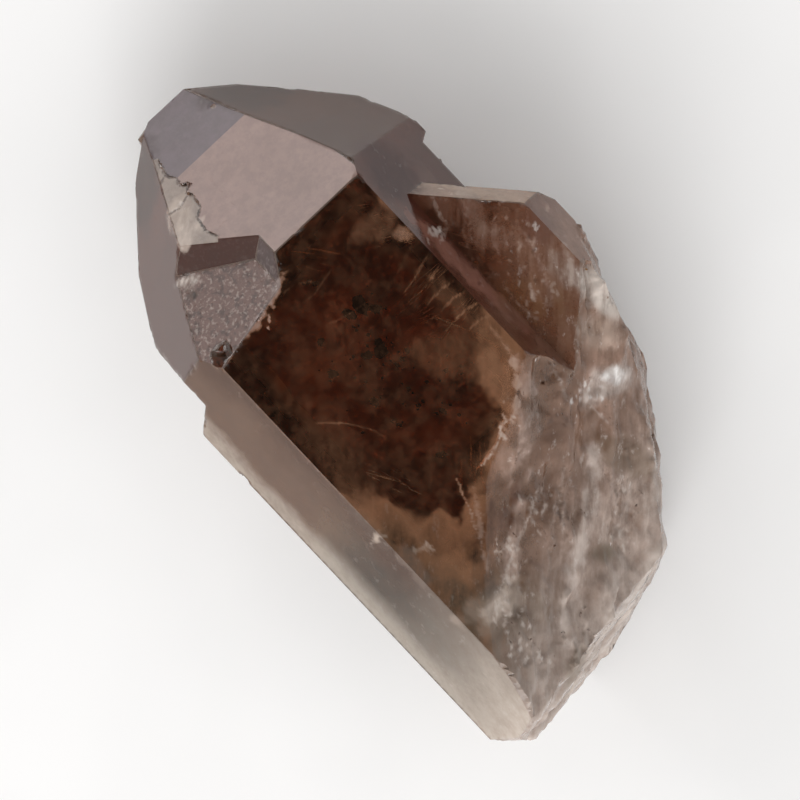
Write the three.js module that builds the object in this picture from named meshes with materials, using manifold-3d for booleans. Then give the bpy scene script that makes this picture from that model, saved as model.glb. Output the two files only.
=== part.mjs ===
// A smoky quartz crystal lying on one of its prism faces, in millimetres.
// +X runs along the crystal's long axis to the tip, +Z is up, and the origin is under the
// middle of the crystal, on the flat prism face it rests on.
// It is one grown solid: a six-sided prism, the sloping faces of its tip, a second smaller
// crystal grown on its side with the same axis, and a broken base.
import * as THREE from "three";
import { mergeVertices } from "three/addons/utils/BufferGeometryUtils.js";
import { ImprovedNoise } from "three/addons/math/ImprovedNoise.js";
import Module from "manifold-3d";

// Each prism face is a turn about the long axis, in degrees from +Y, and a distance from it.
const MAIN = {
  axisY: 2,
  axisZ: 14.5,
  faces: [
    { turn: 90, out: 14.6 },
    { turn: 30, out: 17.5 },
    { turn: -30, out: 13.3 },
    { turn: -90, out: 14.5 },
    { turn: -150, out: 15.15 },
    { turn: 150, out: 15.85 },
  ],
  // Where each end face meets its prism face, as a distance along X.
  endFaceX: [16.6, 14.6, 23.4, 16.9, 22.9, 18.6],
};

// The smaller crystal grown on the side, on the same axis direction.
const SIDE = {
  axisY: -10,
  axisZ: 15.6,
  faces: [
    { turn: 90, out: 9.6 },
    { turn: 30, out: 9 },
    { turn: -30, out: 9 },
    { turn: -90, out: 8.2 },
    { turn: -150, out: 6.2 },
    { turn: 150, out: 11.4 },
  ],
  endFaceX: [14.5, 16, 16, 16, 2.4, 3.93],
};

// Quartz end faces lean this far from the prism face below them.
const END_FACE_LEAN = THREE.MathUtils.degToRad(38.2);
// Each prism starts out this long on both sides of the origin, before its ends are cut.
const BLANK_HALF_LENGTH = 42;
const TOP_Z = MAIN.axisZ + MAIN.faces[0].out;

// The tip: how far along X the large end face bends a little steeper, and the widest Y of
// the two small faces beside it.
const TIP_BEND_X = 28.6;
const TIP_X = 34.9;
const TIP_Z = 14.1;
const TIP_SIDE_Z = 12.4;

// The etched step and the thin flake, each set back along X from the large end face.
const STEP_SETBACK_X = 3.15;
const STEP_TURN = 0.13;
const STEP_CORNER_X = 18.8;
const STEP_CORNER_Y = 2.8;
const FLAKE_SETBACK_X = 0.45;
// The flake's ragged outline, seen from above: along its crack, then round outside the crystal.
const FLAKE_OUTLINE = [
  [31.4, 4.8], [29.5, 5.2], [28.7, 4.7], [27.9, 4.9], [27.4, 4.1], [26.9, 4.9], [26.3, 4.6], [24.8, 4.9],
  [24.3, 5.8], [22.7, 6.0], [21.6, 5.6], [20.5, 6.6], [20.5, 15], [36, 15], [36, 5.5],
];

// The two long edges of the prism that are set back near the tip, by their new Y.
const LEFT_EDGE_Y = 17.55;
const LEFT_NOTCH_X = 10.05;
const RIGHT_EDGE_Y = -14.9;
const RIGHT_NOTCH_X = 15.4;

// The broken base: a long ridge direction, the mesh pitch, and one entry for each break.
const RIDGE_DIRECTION = new THREE.Vector3(-0.728, 0.686, 0);
const BREAK_PITCH = 1.4;
const BREAK_WIDTH = 46;
const BREAK_DEPTH = 30;
const BREAKS = [
  { point: [-19.6, 3.4, 27.4], normal: [-0.47, -0.45, 0.76], rough: 0.7, hollow: 1.2, height: 60 },
  { point: [-11, -17.1, 12], normal: [-0.34, -0.93, 0.08], rough: 0.35 },
  { point: [-23.4, -9.8, 10], normal: [-0.6, -0.8, 0.1], rough: 0.4 },
  { point: [-30.3, -4.1, 10], normal: [-0.83, -0.56, 0.1], rough: 0.4 },
  { point: [-32.3, 5.4, 10], normal: [-0.97, -0.19, 0.14], rough: 0.4 },
  { point: [-33.6, 17.2, 12], normal: [-0.8, 0.6, 0.04], rough: 0.3 },
  { point: [-28, 2, 1], normal: [-0.5, -0.3, -0.82], rough: 0.4 },
];

// Small knocked-off spots: centre, radius, and how tall the spot is against its width.
const CHIPS = [
  { centre: [13.5, 13, 28.6], radius: 1.5, tall: 0.8 },
  { centre: [32, -2.6, 17.6], radius: 0.9, tall: 0.8 },
  { centre: [12.6, -15.7, 15.2], radius: 1.2, tall: 1.8 },
  { centre: [3.2, 20.4, 18.4], radius: 1, tall: 0.9 },
  { centre: [-20.9, -12.7, 14], radius: 1.7, tall: 2.2 },
  { centre: [-4, 9.6, -0.5], radius: 1.3, tall: 0.9 },
];

// The half-space cutters are boxes this big.
const CUTTER_SIZE = 90;

const at = (x, y, z) => new THREE.Vector3(x, y, z);
const wasm = await Module();
wasm.setup();
const noise = new ImprovedNoise();

// A closed three.js geometry as a solid that booleans work on.
function solid(geometry) {
  const bare = geometry.index ? geometry.toNonIndexed() : geometry.clone();
  bare.deleteAttribute("normal");
  bare.deleteAttribute("uv");
  const merged = mergeVertices(bare, 1e-4);
  const mesh = new wasm.Mesh({
    numProp: 3,
    vertProperties: new Float32Array(merged.attributes.position.array),
    triVerts: new Uint32Array(merged.index.array),
  });
  return new wasm.Manifold(mesh);
}

// A solid back as a three.js geometry.
function geometryOf(shape) {
  const mesh = shape.getMesh();
  const geometry = new THREE.BufferGeometry();
  geometry.setAttribute("position", new THREE.BufferAttribute(mesh.vertProperties, 3));
  geometry.setIndex(new THREE.BufferAttribute(mesh.triVerts, 1));
  return geometry;
}

// The direction a prism face looks in, for its turn about the long axis.
function faceDirection(turn) {
  const angle = THREE.MathUtils.degToRad(turn);
  return at(0, Math.cos(angle), Math.sin(angle));
}

// The corner where two neighbouring prism faces meet, seen along the axis.
function prismCorner(crystal, i) {
  const face = crystal.faces[i];
  const next = crystal.faces[(i + 1) % crystal.faces.length];
  const a = faceDirection(face.turn);
  const b = faceDirection(next.turn);
  const det = a.y * b.z - a.z * b.y;
  const y = (face.out * b.z - next.out * a.z) / det;
  const z = (a.y * next.out - b.y * face.out) / det;
  return new THREE.Vector2(crystal.axisY + y, crystal.axisZ + z);
}

// A six-sided prism along X whose faces stand at their own distances from its axis.
function hexagonPrism(crystal) {
  const corners = crystal.faces.map((face, i) => prismCorner(crystal, i));
  const outline = new THREE.Shape(corners);
  const depth = 2 * BLANK_HALF_LENGTH;
  const geometry = new THREE.ExtrudeGeometry(outline, { depth, bevelEnabled: false });
  const alongX = new THREE.Matrix4().makeBasis(at(0, 1, 0), at(0, 0, 1), at(1, 0, 0));
  geometry.applyMatrix4(alongX);
  geometry.translate(-BLANK_HALF_LENGTH, 0, 0);
  return solid(geometry);
}

// A geometry turned so that its +Z looks along the normal, and moved to the point.
function placed(geometry, point, normal) {
  const turn = new THREE.Quaternion();
  turn.setFromUnitVectors(at(0, 0, 1), normal.clone().normalize());
  geometry.applyQuaternion(turn);
  geometry.translate(point.x, point.y, point.z);
  return geometry;
}

// Everything on the outer side of the plane through a point, looking along a normal.
function beyond(point, normal) {
  const box = new THREE.BoxGeometry(CUTTER_SIZE, CUTTER_SIZE, CUTTER_SIZE);
  box.translate(0, 0, CUTTER_SIZE / 2);
  return solid(placed(box, point, normal));
}

// The outer side of the plane through three points, on the side away from the axis.
function beyondThree(a, b, c) {
  const normal = b.clone().sub(a).cross(c.clone().sub(a)).normalize();
  const inside = at(0, MAIN.axisY, MAIN.axisZ);
  if (normal.dot(inside.sub(a)) > 0) normal.negate();
  return beyond(a, normal);
}

// The outer side of the end face that rises over one prism face.
function beyondEndFace(crystal, i) {
  const direction = faceDirection(crystal.faces[i].turn);
  const point = direction.clone().multiplyScalar(crystal.faces[i].out);
  point.add(at(crystal.endFaceX[i], crystal.axisY, crystal.axisZ));
  const normal = direction.multiplyScalar(Math.cos(END_FACE_LEAN));
  normal.x = Math.sin(END_FACE_LEAN);
  return beyond(point, normal);
}

// A prism with its six end faces cut.
function pointedPrism(crystal) {
  let body = hexagonPrism(crystal);
  for (let i = 0; i < crystal.faces.length; i++) {
    body = body.subtract(beyondEndFace(crystal, i));
  }
  return body;
}

// A point on the large end face, from its X and Y.
function onLargeFace(x, y) {
  return at(x, y, TOP_Z - Math.tan(END_FACE_LEAN) * (x - MAIN.endFaceX[0]));
}

// Above a face parallel to the large end face, set back along X and turned a little.
function aboveSetBackFace(setbackX, turn) {
  const point = at(MAIN.endFaceX[0] - setbackX, 7, TOP_Z);
  return beyond(point, at(Math.sin(END_FACE_LEAN), turn, Math.cos(END_FACE_LEAN)));
}

// The small extra faces that blunt the tip.
function tipFacets() {
  const right = beyondThree(onLargeFace(29.7, -4.1), at(27.4, -9.5, TIP_SIDE_Z), at(34.2, -2.5, 15));
  const left = beyondThree(onLargeFace(29.6, 6), at(27.2, 11.3, TIP_SIDE_Z), at(34, 4.1, 15.2));
  const front = beyondThree(onLargeFace(TIP_BEND_X, -6), onLargeFace(TIP_BEND_X, 6), at(TIP_X, 0, TIP_Z));
  const leftFlank = beyond(at(23.2, 14.9, 13), at(0.5, 0.86, 0.02));
  const leftEnd = beyond(at(32.6, 7.1, 15), at(0.86, 0.5, -0.1));
  const clippedCorner = beyond(at(17.9, -8, 28.2), at(0.6, -0.42, 0.68));
  return [right, left, front, leftFlank, leftEnd, clippedCorner];
}

// The left prism edge, broken back from the notch to the tip.
function leftEdgeNotch() {
  const outside = beyond(at(0, LEFT_EDGE_Y, 0), at(0, 1, 0));
  const ahead = beyond(at(LEFT_NOTCH_X, LEFT_EDGE_Y + 1, 22), at(0.8, 0.6, 0));
  return outside.intersect(ahead);
}

// The right prism edge, set back between the tip and the side crystal.
function rightEdgeNotch() {
  const outside = beyond(at(0, RIGHT_EDGE_Y, 0), at(0, -1, 0));
  const behind = beyond(at(RIGHT_NOTCH_X, RIGHT_EDGE_Y - 0.5, 15), at(-0.85, -0.5, 0));
  return outside.intersect(behind);
}

// A thin flake off the left border of the large end face.
function edgeFlake() {
  const outline = new THREE.Shape(FLAKE_OUTLINE.map(([x, y]) => new THREE.Vector2(x, y)));
  const column = new THREE.ExtrudeGeometry(outline, { depth: CUTTER_SIZE, bevelEnabled: false });
  return aboveSetBackFace(FLAKE_SETBACK_X, 0.03).intersect(solid(column));
}

// The etched step: above a lower face, and on the outer side of a two-part riser.
function etchedStep() {
  const above = aboveSetBackFace(STEP_SETBACK_X, STEP_TURN);
  const corner = onLargeFace(STEP_CORNER_X, STEP_CORNER_Y);
  const riser = beyond(corner, at(0.04, 0.535, 0.844));
  const riserEnd = beyond(corner, at(0.457, 0.683, 0.57));
  return above.intersect(riser).intersect(riserEnd);
}

// A small knocked-off spot: a lumpy ball with a few facets.
function chip(spot) {
  const ball = new THREE.IcosahedronGeometry(spot.radius, 1);
  const centre = at(...spot.centre);
  const position = ball.attributes.position;
  for (let i = 0; i < position.count; i++) {
    const p = new THREE.Vector3().fromBufferAttribute(position, i);
    const q = p.clone().multiplyScalar(0.9).add(centre);
    const lump = 1 + 0.22 * noise.noise(q.x, q.y, q.z);
    position.setXYZ(i, p.x * lump, p.y * lump, p.z * lump * spot.tall);
  }
  ball.translate(centre.x, centre.y, centre.z);
  return solid(ball);
}

// How far a broken surface stands out at a point: long ridges, lumps and grain.
function breakHeight(p, rough) {
  const run = p.dot(RIDGE_DIRECTION);
  const across = p.clone().addScaledVector(RIDGE_DIRECTION, -run);
  const ridge = noise.noise(run / 15, across.x / 3.4, across.z / 3.4);
  const lump = noise.noise(p.x / 6.5 + 3, p.y / 6.5, p.z / 6.5);
  const grain = noise.noise(p.x / 1.9, p.y / 1.9, p.z / 1.9 + 7);
  return rough * (1.1 * ridge + 1.2 * lump + 0.35 * grain);
}

// The outer side of one rough, slightly hollow break.
function beyondBreak({ point, normal, rough, hollow = 0, height = BREAK_WIDTH }) {
  const countX = Math.round(BREAK_WIDTH / BREAK_PITCH);
  const countY = Math.round(height / BREAK_PITCH);
  const box = new THREE.BoxGeometry(BREAK_WIDTH, height, BREAK_DEPTH, countX, countY, 1);
  box.translate(0, 0, BREAK_DEPTH / 2);
  const centre = at(...point);
  const outward = at(...normal).normalize();
  placed(box, centre, outward);
  const bowlRadius = 0.4 * BREAK_WIDTH;
  const position = box.attributes.position;
  for (let i = 0; i < position.count; i++) {
    const p = new THREE.Vector3().fromBufferAttribute(position, i);
    const from = p.clone().sub(centre);
    if (from.dot(outward) > BREAK_DEPTH / 2) continue;
    const bowl = hollow * Math.max(0, 1 - from.lengthSq() / bowlRadius ** 2);
    p.addScaledVector(outward, breakHeight(p, rough) - bowl);
    position.setXYZ(i, p.x, p.y, p.z);
  }
  return solid(box);
}

// The whole crystal: the two grown prisms joined, then broken and chipped.
function quartzCrystal() {
  let body = pointedPrism(MAIN);
  const cuts = [...tipFacets(), leftEdgeNotch(), rightEdgeNotch(), edgeFlake(), etchedStep()];
  for (const cut of cuts) body = body.subtract(cut);
  body = body.add(pointedPrism(SIDE));
  for (const piece of BREAKS) body = body.subtract(beyondBreak(piece));
  for (const spot of CHIPS) body = body.subtract(chip(spot));
  return geometryOf(body);
}

// Smoky quartz: a dark brown, glassy stone.
function smokyQuartz() {
  return new THREE.MeshStandardMaterial({ color: 0x5c4335, roughness: 0.2, metalness: 0 });
}

const mesh = new THREE.Mesh(quartzCrystal(), smokyQuartz());
mesh.name = "quartz_crystal";

const part = new THREE.Group();
part.add(mesh);
export default part;
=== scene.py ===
"""Looks of a smoky quartz crystal that lies on one of its prism faces.

Everything is in metres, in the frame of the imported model: +X runs along the crystal to its tip
and +Z is up. Sizes below are in millimetres where a name ends in _mm.
"""

import logging
import math
import random
from dataclasses import dataclass, field
from enum import Enum
from itertools import product
from typing import Iterable, Sequence

import bmesh
import bpy
from mathutils import Matrix, Vector, noise
from mathutils.bvhtree import BVHTree
from mathutils.kdtree import KDTree


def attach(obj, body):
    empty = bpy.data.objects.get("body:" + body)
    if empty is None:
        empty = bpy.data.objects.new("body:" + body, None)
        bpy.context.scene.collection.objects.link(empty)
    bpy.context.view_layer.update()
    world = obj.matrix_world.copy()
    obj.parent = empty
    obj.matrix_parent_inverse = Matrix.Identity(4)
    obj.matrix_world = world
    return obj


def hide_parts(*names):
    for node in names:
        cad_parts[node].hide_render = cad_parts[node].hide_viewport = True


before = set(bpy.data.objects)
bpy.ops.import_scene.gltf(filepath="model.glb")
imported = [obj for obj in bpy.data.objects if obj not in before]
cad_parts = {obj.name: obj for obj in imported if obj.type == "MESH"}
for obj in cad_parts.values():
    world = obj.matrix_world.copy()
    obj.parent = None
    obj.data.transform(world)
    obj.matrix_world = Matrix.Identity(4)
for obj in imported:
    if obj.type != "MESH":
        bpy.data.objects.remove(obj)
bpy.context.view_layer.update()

LOG = logging.getLogger("quartz")
MM = 0.001
NODE = "quartz_crystal"
QUARTZ_IOR = 1.544
END_FACE_LEAN = math.radians(38.2)
Color = tuple[float, float, float]
Place = tuple[float, float]
# the direction in which the break's ridges run
RIDGE_DIRECTION = Vector((-0.728, 0.686, 0))
RIDGE_DEGREES = 137
SOLID_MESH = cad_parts[NODE].data
SOLID_TREE = BVHTree.FromPolygons(
    [v.co.copy() for v in SOLID_MESH.vertices], [tuple(f.vertices) for f in SOLID_MESH.polygons]
)


def mm(x: float, y: float, z: float) -> Vector:
    """A point given in millimetres, as metres."""
    return Vector((x, y, z)) * MM


def linear(code: str) -> Color:
    """A colour written as six hex digits, as linear light.

    Args:
        code: Red, green and blue, two hex digits each.

    Returns:
        The three channels in linear light.
    """
    channels = (int(code[i : i + 2], 16) / 255 for i in (0, 2, 4))
    r, g, b = (c / 12.92 if c <= 0.04045 else ((c + 0.055) / 1.055) ** 2.4 for c in channels)
    return r, g, b


def smooth(low: float, high: float, value: float) -> float:
    """A soft step from 0 at low to 1 at high."""
    t = min(1.0, max(0.0, (value - low) / (high - low)))
    return t * t * (3 - 2 * t)


def nearest_of(places: Sequence[Vector]) -> KDTree:
    """Sorts points so that the nearest one to any place is found quickly.

    Args:
        places: The points.

    Returns:
        The sorted points.
    """
    tree = KDTree(len(places))
    for i, place in enumerate(places):
        tree.insert(place, i)
    tree.balance()
    return tree


def fractal(p: Vector, size_mm: float, octaves: int = 3) -> float:
    """Layered noise of about -1 to 1 at a point.

    Args:
        p: The point, in metres.
        size_mm: The size of the largest lumps.
        octaves: How many layers, each half the size of the one before.

    Returns:
        The sum of the layers.
    """
    q = p / (size_mm * MM)
    total, share = 0.0, 0.6
    for _ in range(octaves):
        total += share * noise.noise(q)
        q = q * 2.03 + Vector((3.1, 7.7, 1.3))
        share *= 0.5
    return total * 1.6


class Region(Enum):
    """The kinds of surface that the crystal has, each with its own look."""

    TOP = "top"
    LEFT = "left"
    RIGHT = "right"
    SIDE_TOP = "side_top"
    LARGE_END = "large_end"
    TIP = "tip"
    FLAKE = "flake"
    STEP_FLOOR = "step_floor"
    RISER = "riser"
    RISER_END = "riser_end"
    RIGHT_END = "right_end"
    LEFT_END = "left_end"
    SIDE_END = "side_end"
    UNDER = "under"
    BROKEN = "broken"
    EDGE = "edge"


KINDS = tuple(Region)
NUMBER = {region: number for number, region in enumerate(KINDS)}


@dataclass(frozen=True)
class SurfaceLook:
    """How one kind of surface looks.

    Attributes:
        tint: Colour of the thin haze in and on the surface.
        clear: How see-through it is, from 0 to 1.
        rough: How rough the gloss is, from 0 to 1.
        etch: How deep its etch marks are, from 0 to 1.
    """

    tint: str
    clear: float
    rough: float
    etch: float


LOOKS: dict[Region, SurfaceLook] = {
    Region.TOP: SurfaceLook("e8a67c", 0.99, 0.04, 0.03),
    Region.LEFT: SurfaceLook("74523a", 0.42, 0.14, 0.03),
    Region.RIGHT: SurfaceLook("74402f", 0.6, 0.12, 0.04),
    Region.SIDE_TOP: SurfaceLook("a0664a", 0.9, 0.1, 0.2),
    Region.LARGE_END: SurfaceLook("9f857d", 0.28, 0.26, 0.03),
    Region.TIP: SurfaceLook("70646a", 0.32, 0.25, 0.03),
    Region.FLAKE: SurfaceLook("a09186", 0.3, 0.28, 0.2),
    Region.STEP_FLOOR: SurfaceLook("6b5048", 0.2, 0.34, 1.0),
    Region.RISER: SurfaceLook("3c1d13", 0.1, 0.12, 0.05),
    Region.RISER_END: SurfaceLook("4a3a38", 0.12, 0.2, 0.3),
    Region.RIGHT_END: SurfaceLook("5f3c27", 0.5, 0.14, 0.05),
    Region.LEFT_END: SurfaceLook("5a301e", 0.42, 0.14, 0.04),
    Region.SIDE_END: SurfaceLook("b39a86", 0.2, 0.2, 0.2),
    Region.UNDER: SurfaceLook("8a6f5a", 0.72, 0.12, 0.1),
    Region.BROKEN: SurfaceLook("b48a6e", 0.9, 0.16, 0.16),
    Region.EDGE: SurfaceLook("8a7264", 0.62, 0.2, 0.2),
}

# The direction that each grown face looks in.
FACE_DIRECTIONS: tuple[tuple[Region, tuple[float, float, float]], ...] = (
    (Region.TOP, (0, 0, 1)),
    (Region.SIDE_TOP, (0, 0, 1)),
    (Region.LEFT, (0, 0.866, 0.5)),
    (Region.RIGHT, (0, -0.866, 0.5)),
    (Region.LARGE_END, (0.6184, 0, 0.7859)),
    (Region.FLAKE, (0.6181, 0.03, 0.7855)),
    (Region.TIP, (0.6616, 0, 0.7498)),
    (Region.STEP_FLOOR, (0.6132, 0.1289, 0.7793)),
    (Region.RISER, (0.04, 0.5352, 0.8442)),
    (Region.RISER_END, (0.4566, 0.6830, 0.57)),
    (Region.RIGHT_END, (0.6184, -0.6806, 0.3929)),
    (Region.LEFT_END, (0.6184, 0.6806, 0.3929)),
    (Region.RIGHT_END, (0.583, -0.712, 0.392)),
    (Region.LEFT_END, (0.605, 0.711, 0.358)),
)


# The edge of the dark zone, seen from above, in millimetres.
CORE_EDGE: tuple[Place, ...] = (
    (15.5, 3.1), (16.8, -6.8), (6.4, -7.9), (-3.4, -7.8), (-7.4, -5.6), (-9.8, -2.5),
    (-11.2, 0.9), (-14.6, 3.8), (-17.0, 5.9), (-16.8, 8.4), (-15.2, 10.2), (-12.0, 11.6),
    (-8.0, 12.8), (-2.2, 13.6), (3.5, 14.1), (14.3, 14.1),
)


def core_distance(x: float, y: float) -> float:
    """How far a place is outside the dark zone, seen from above, in millimetres, under 0 inside.

    Args:
        x: The place along the crystal, in millimetres.
        y: The place across it, in millimetres.

    Returns:
        The distance to the zone's edge.
    """
    best, within = 99.0, False
    for (ax, ay), (bx, by) in zip(CORE_EDGE, CORE_EDGE[1:] + CORE_EDGE[:1]):
        ex, ey = bx - ax, by - ay
        t = min(1.0, max(0.0, ((x - ax) * ex + (y - ay) * ey) / (ex * ex + ey * ey)))
        best = min(best, math.hypot(ax + ex * t - x, ay + ey * t - y))
        if (ay > y) != (by > y) and x < ax + (y - ay) * ex / ey:
            within = not within
    return -best if within else best


@dataclass(frozen=True)
class Stain:
    """A soft patch of haze, bloom or dark stone just under the surface, or a painted highlight.

    Attributes:
        x: Middle along the crystal, in millimetres.
        y: Middle across it, in millimetres.
        along: Half its length, in millimetres.
        across: Half its width, in millimetres.
        lean: Which way its length points, in degrees from +X about +Z.
        color: Its colour, as six hex digits.
        strength: How thick it is, from 0 to 1.
        ragged: How torn its edge is, from 0 to 1.
    """

    x: float
    y: float
    along: float
    across: float
    lean: float
    color: str
    strength: float
    ragged: float = 0.4

    @property
    def reach(self) -> float:
        """How far it can be seen from its middle, torn edge and all, in millimetres."""
        return 1.6 * max(self.along, self.across)

    def at(self, p: Vector) -> float:
        """How thick it is at a point given in millimetres.

        Args:
            p: The point.

        Returns:
            The thickness, from 0 to 1.
        """
        dx, dy = p.x - self.x, p.y - self.y
        if max(abs(dx), abs(dy)) > self.reach:
            return 0.0
        c, s = math.cos(math.radians(self.lean)), math.sin(math.radians(self.lean))
        out = math.hypot((dx * c + dy * s) / self.along, (dy * c - dx * s) / self.across)
        torn = self.ragged * fractal(p * MM, min(2.5, 1.5 * self.across), 3)
        return self.strength * smooth(1.15, 0.45, out + torn)


def seam(
    points: Sequence[Place], width: float, color: str, strength: float, ragged: float = 0.5
) -> list[Stain]:
    """A row of stains along a bent line.

    Args:
        points: Where the line goes, in millimetres.
        width: Half its width, in millimetres.
        color: Its colour.
        strength: How thick it is, from 0 to 1.
        ragged: How torn its edge is.

    Returns:
        The stains.
    """
    row = []
    for (ax, ay), (bx, by) in zip(points, points[1:]):
        half = math.hypot(bx - ax, by - ay) / 2
        lean = math.degrees(math.atan2(by - ay, bx - ax))
        row.append(Stain((ax + bx) / 2, (ay + by) / 2, half * 1.25, width, lean, color, strength, ragged))
    return row


@dataclass(frozen=True)
class FineLine:
    """A thin crack, a hair of haze or a painted highlight along an edge, at the surface.

    Attributes:
        points: Where it goes, in millimetres.
        width: Half its width, in millimetres.
        color: Its colour, as six hex digits.
        strength: How thick it is, from 0 to 1.
        ragged: How torn its edge is, from 0 to 1.
    """

    points: tuple[Place, ...]
    width: float
    color: str
    strength: float
    ragged: float

    def stains(self) -> list[Stain]:
        """The row of stains that draws it."""
        return seam(self.points, self.width, self.color, self.strength, self.ragged)

    def places(self) -> list[Vector]:
        """Points along it, for finding what lies near it, in millimetres.

        Returns:
            The points, with no height.
        """
        found = []
        for (ax, ay), (bx, by) in zip(self.points, self.points[1:]):
            steps = max(2, round(math.hypot(bx - ax, by - ay) / 0.3))
            for i in range(steps + 1):
                found.append(Vector((ax + (bx - ax) * i / steps, ay + (by - ay) * i / steps, 0)))
        return found


FINE_LINES: tuple[FineLine, ...] = (
    # a painted highlight: a pale band along the raised step's bevelled edge, standing for the light that it
    # reflects
    FineLine(((14.5, 3.7), (13.4, 6.6), (12.6, 10.5)), 0.5, "ab9c99", 0.6, 0.5),
    FineLine(((-9.7, -1.5), (-10.6, -0.5), (-11.0, 0.9), (-11.2, 2.5)), 0.16, "e2d4ca", 0.6, 0.6),
    FineLine(((-5.5, -6.7), (-7.3, -5.8), (-8.8, -4.6), (-9.8, -3.0)), 0.42, "cdb5a6", 0.55, 0.7),
    FineLine(((-10.7, 5.0), (-12.1, 5.6), (-13.5, 6.0), (-15.4, 7.1)), 0.14, "cdb9ac", 0.3, 0.9),
    FineLine(((-12.5, 4.5), (-14.3, 5.7), (-16.9, 7.7), (-18.7, 8.7)), 0.26, "c4ab9d", 0.25, 0.9),
    FineLine(((-16.7, 0.3), (-18.0, 2.7), (-19.1, 5.5), (-20.5, 8.3)), 0.18, "dccdc2", 0.35, 0.9),
    FineLine(((-17.0, -3.0), (-18.8, -0.8), (-21.2, 1.0)), 0.2, "cbb8ab", 0.25, 0.9),
    FineLine(((-12.0, -9.7), (-14.4, -9.1), (-16.6, -9.2)), 0.18, "e2d6ce", 0.33, 0.9),
    FineLine(((-9.2, -8.7), (-10.6, -8.5), (-12.3, -7.7)), 0.2, "d9cac0", 0.3, 0.9),
    FineLine(((2.1, 10.7), (0.5, 9.0), (-1.6, 7.6), (-3.5, 7.0)), 0.11, "a98d7c", 0.16, 0.6),
    FineLine(((5.4, -3.1), (5.9, -5.1), (6.6, -7.4)), 0.13, "a88c78", 0.2, 0.5),
    FineLine(((4.4, -3.3), (4.7, -5.8), (5.2, -7.9)), 0.13, "a88c78", 0.18, 0.5),
    FineLine(((3.2, -3.9), (3.4, -6.0), (3.2, -7.6)), 0.12, "b0937e", 0.17, 0.5),
    FineLine(((1.9, -4.5), (2.0, -6.5), (1.7, -7.8)), 0.12, "b0937e", 0.18, 0.5),
    FineLine(((0.4, -5.0), (0.4, -6.6), (0.1, -7.9)), 0.12, "b39783", 0.2, 0.5),
    FineLine(((-1.1, -5.4), (-1.2, -7.0), (-1.6, -7.9)), 0.12, "b39783", 0.2, 0.5),
    FineLine(((6.9, -3.1), (7.7, -5.5), (8.4, -7.2)), 0.11, "96796a", 0.15, 0.5),
    FineLine(((13.3, 5.0), (13.1, 3.4), (12.1, 1.9)), 0.12, "8d7263", 0.18, 0.6),
    FineLine(((11.9, 6.6), (11.4, 4.9), (11.2, 2.7), (11.8, 0.0)), 0.1, "83695b", 0.15, 0.6),
    FineLine(((8.2, 3.8), (7.6, 1.5), (7.2, -0.6)), 0.1, "7d6355", 0.14, 0.6),
    FineLine(((10.3, -11.6), (8.9, -11.0), (7.4, -10.8), (6.8, -9.5)), 0.26, "d8cac0", 0.45, 0.9),
    FineLine(((9.0, -13.7), (7.4, -13.2), (5.8, -11.4), (3.7, -10.5)), 0.2, "b79f92", 0.22, 0.9),
    FineLine(((5.7, -13.2), (3.9, -13.4), (2.0, -12.4)), 0.22, "b0958a", 0.27, 0.9),
    FineLine(((2.1, -15.6), (0.0, -15.3), (-2.2, -14.3), (-4.6, -13.1)), 0.26, "bca398", 0.3, 0.9),
    FineLine(((-0.9, -17.7), (-3.0, -17.0), (-5.2, -15.7)), 0.3, "c9b6ab", 0.3, 0.9),
    FineLine(((0.0, -11.0), (-2.2, -10.6), (-4.5, -10.8)), 0.2, "b3988b", 0.27, 0.9),
    FineLine(((-2.1, -7.1), (-4.2, -7.0), (-5.7, -6.7)), 0.2, "c3ab9d", 0.25, 0.9),
    FineLine(((-9.4, 14.9), (-9.4, 13.8), (-10.0, 13.4)), 0.22, "b3a193", 0.4, 0.8),
    FineLine(((-13.1, 12.0), (-13.0, 11.1), (-13.8, 11.1)), 0.22, "bda99c", 0.35, 0.8),
)


@dataclass(frozen=True)
class CrumbPatch:
    """A patch of short bright or dark crumbs on the surface; some patches of bright ones are painted glints.

    Attributes:
        middle: Its middle, in millimetres.
        spread: How far it reaches across and along the break's ridges, in millimetres.
        count: How many crumbs it has.
        color: Their colour, as six hex digits.
        strength: How thick they are, from 0 to 1.
    """

    middle: Place
    spread: Place
    count: int
    color: str
    strength: float


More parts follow.
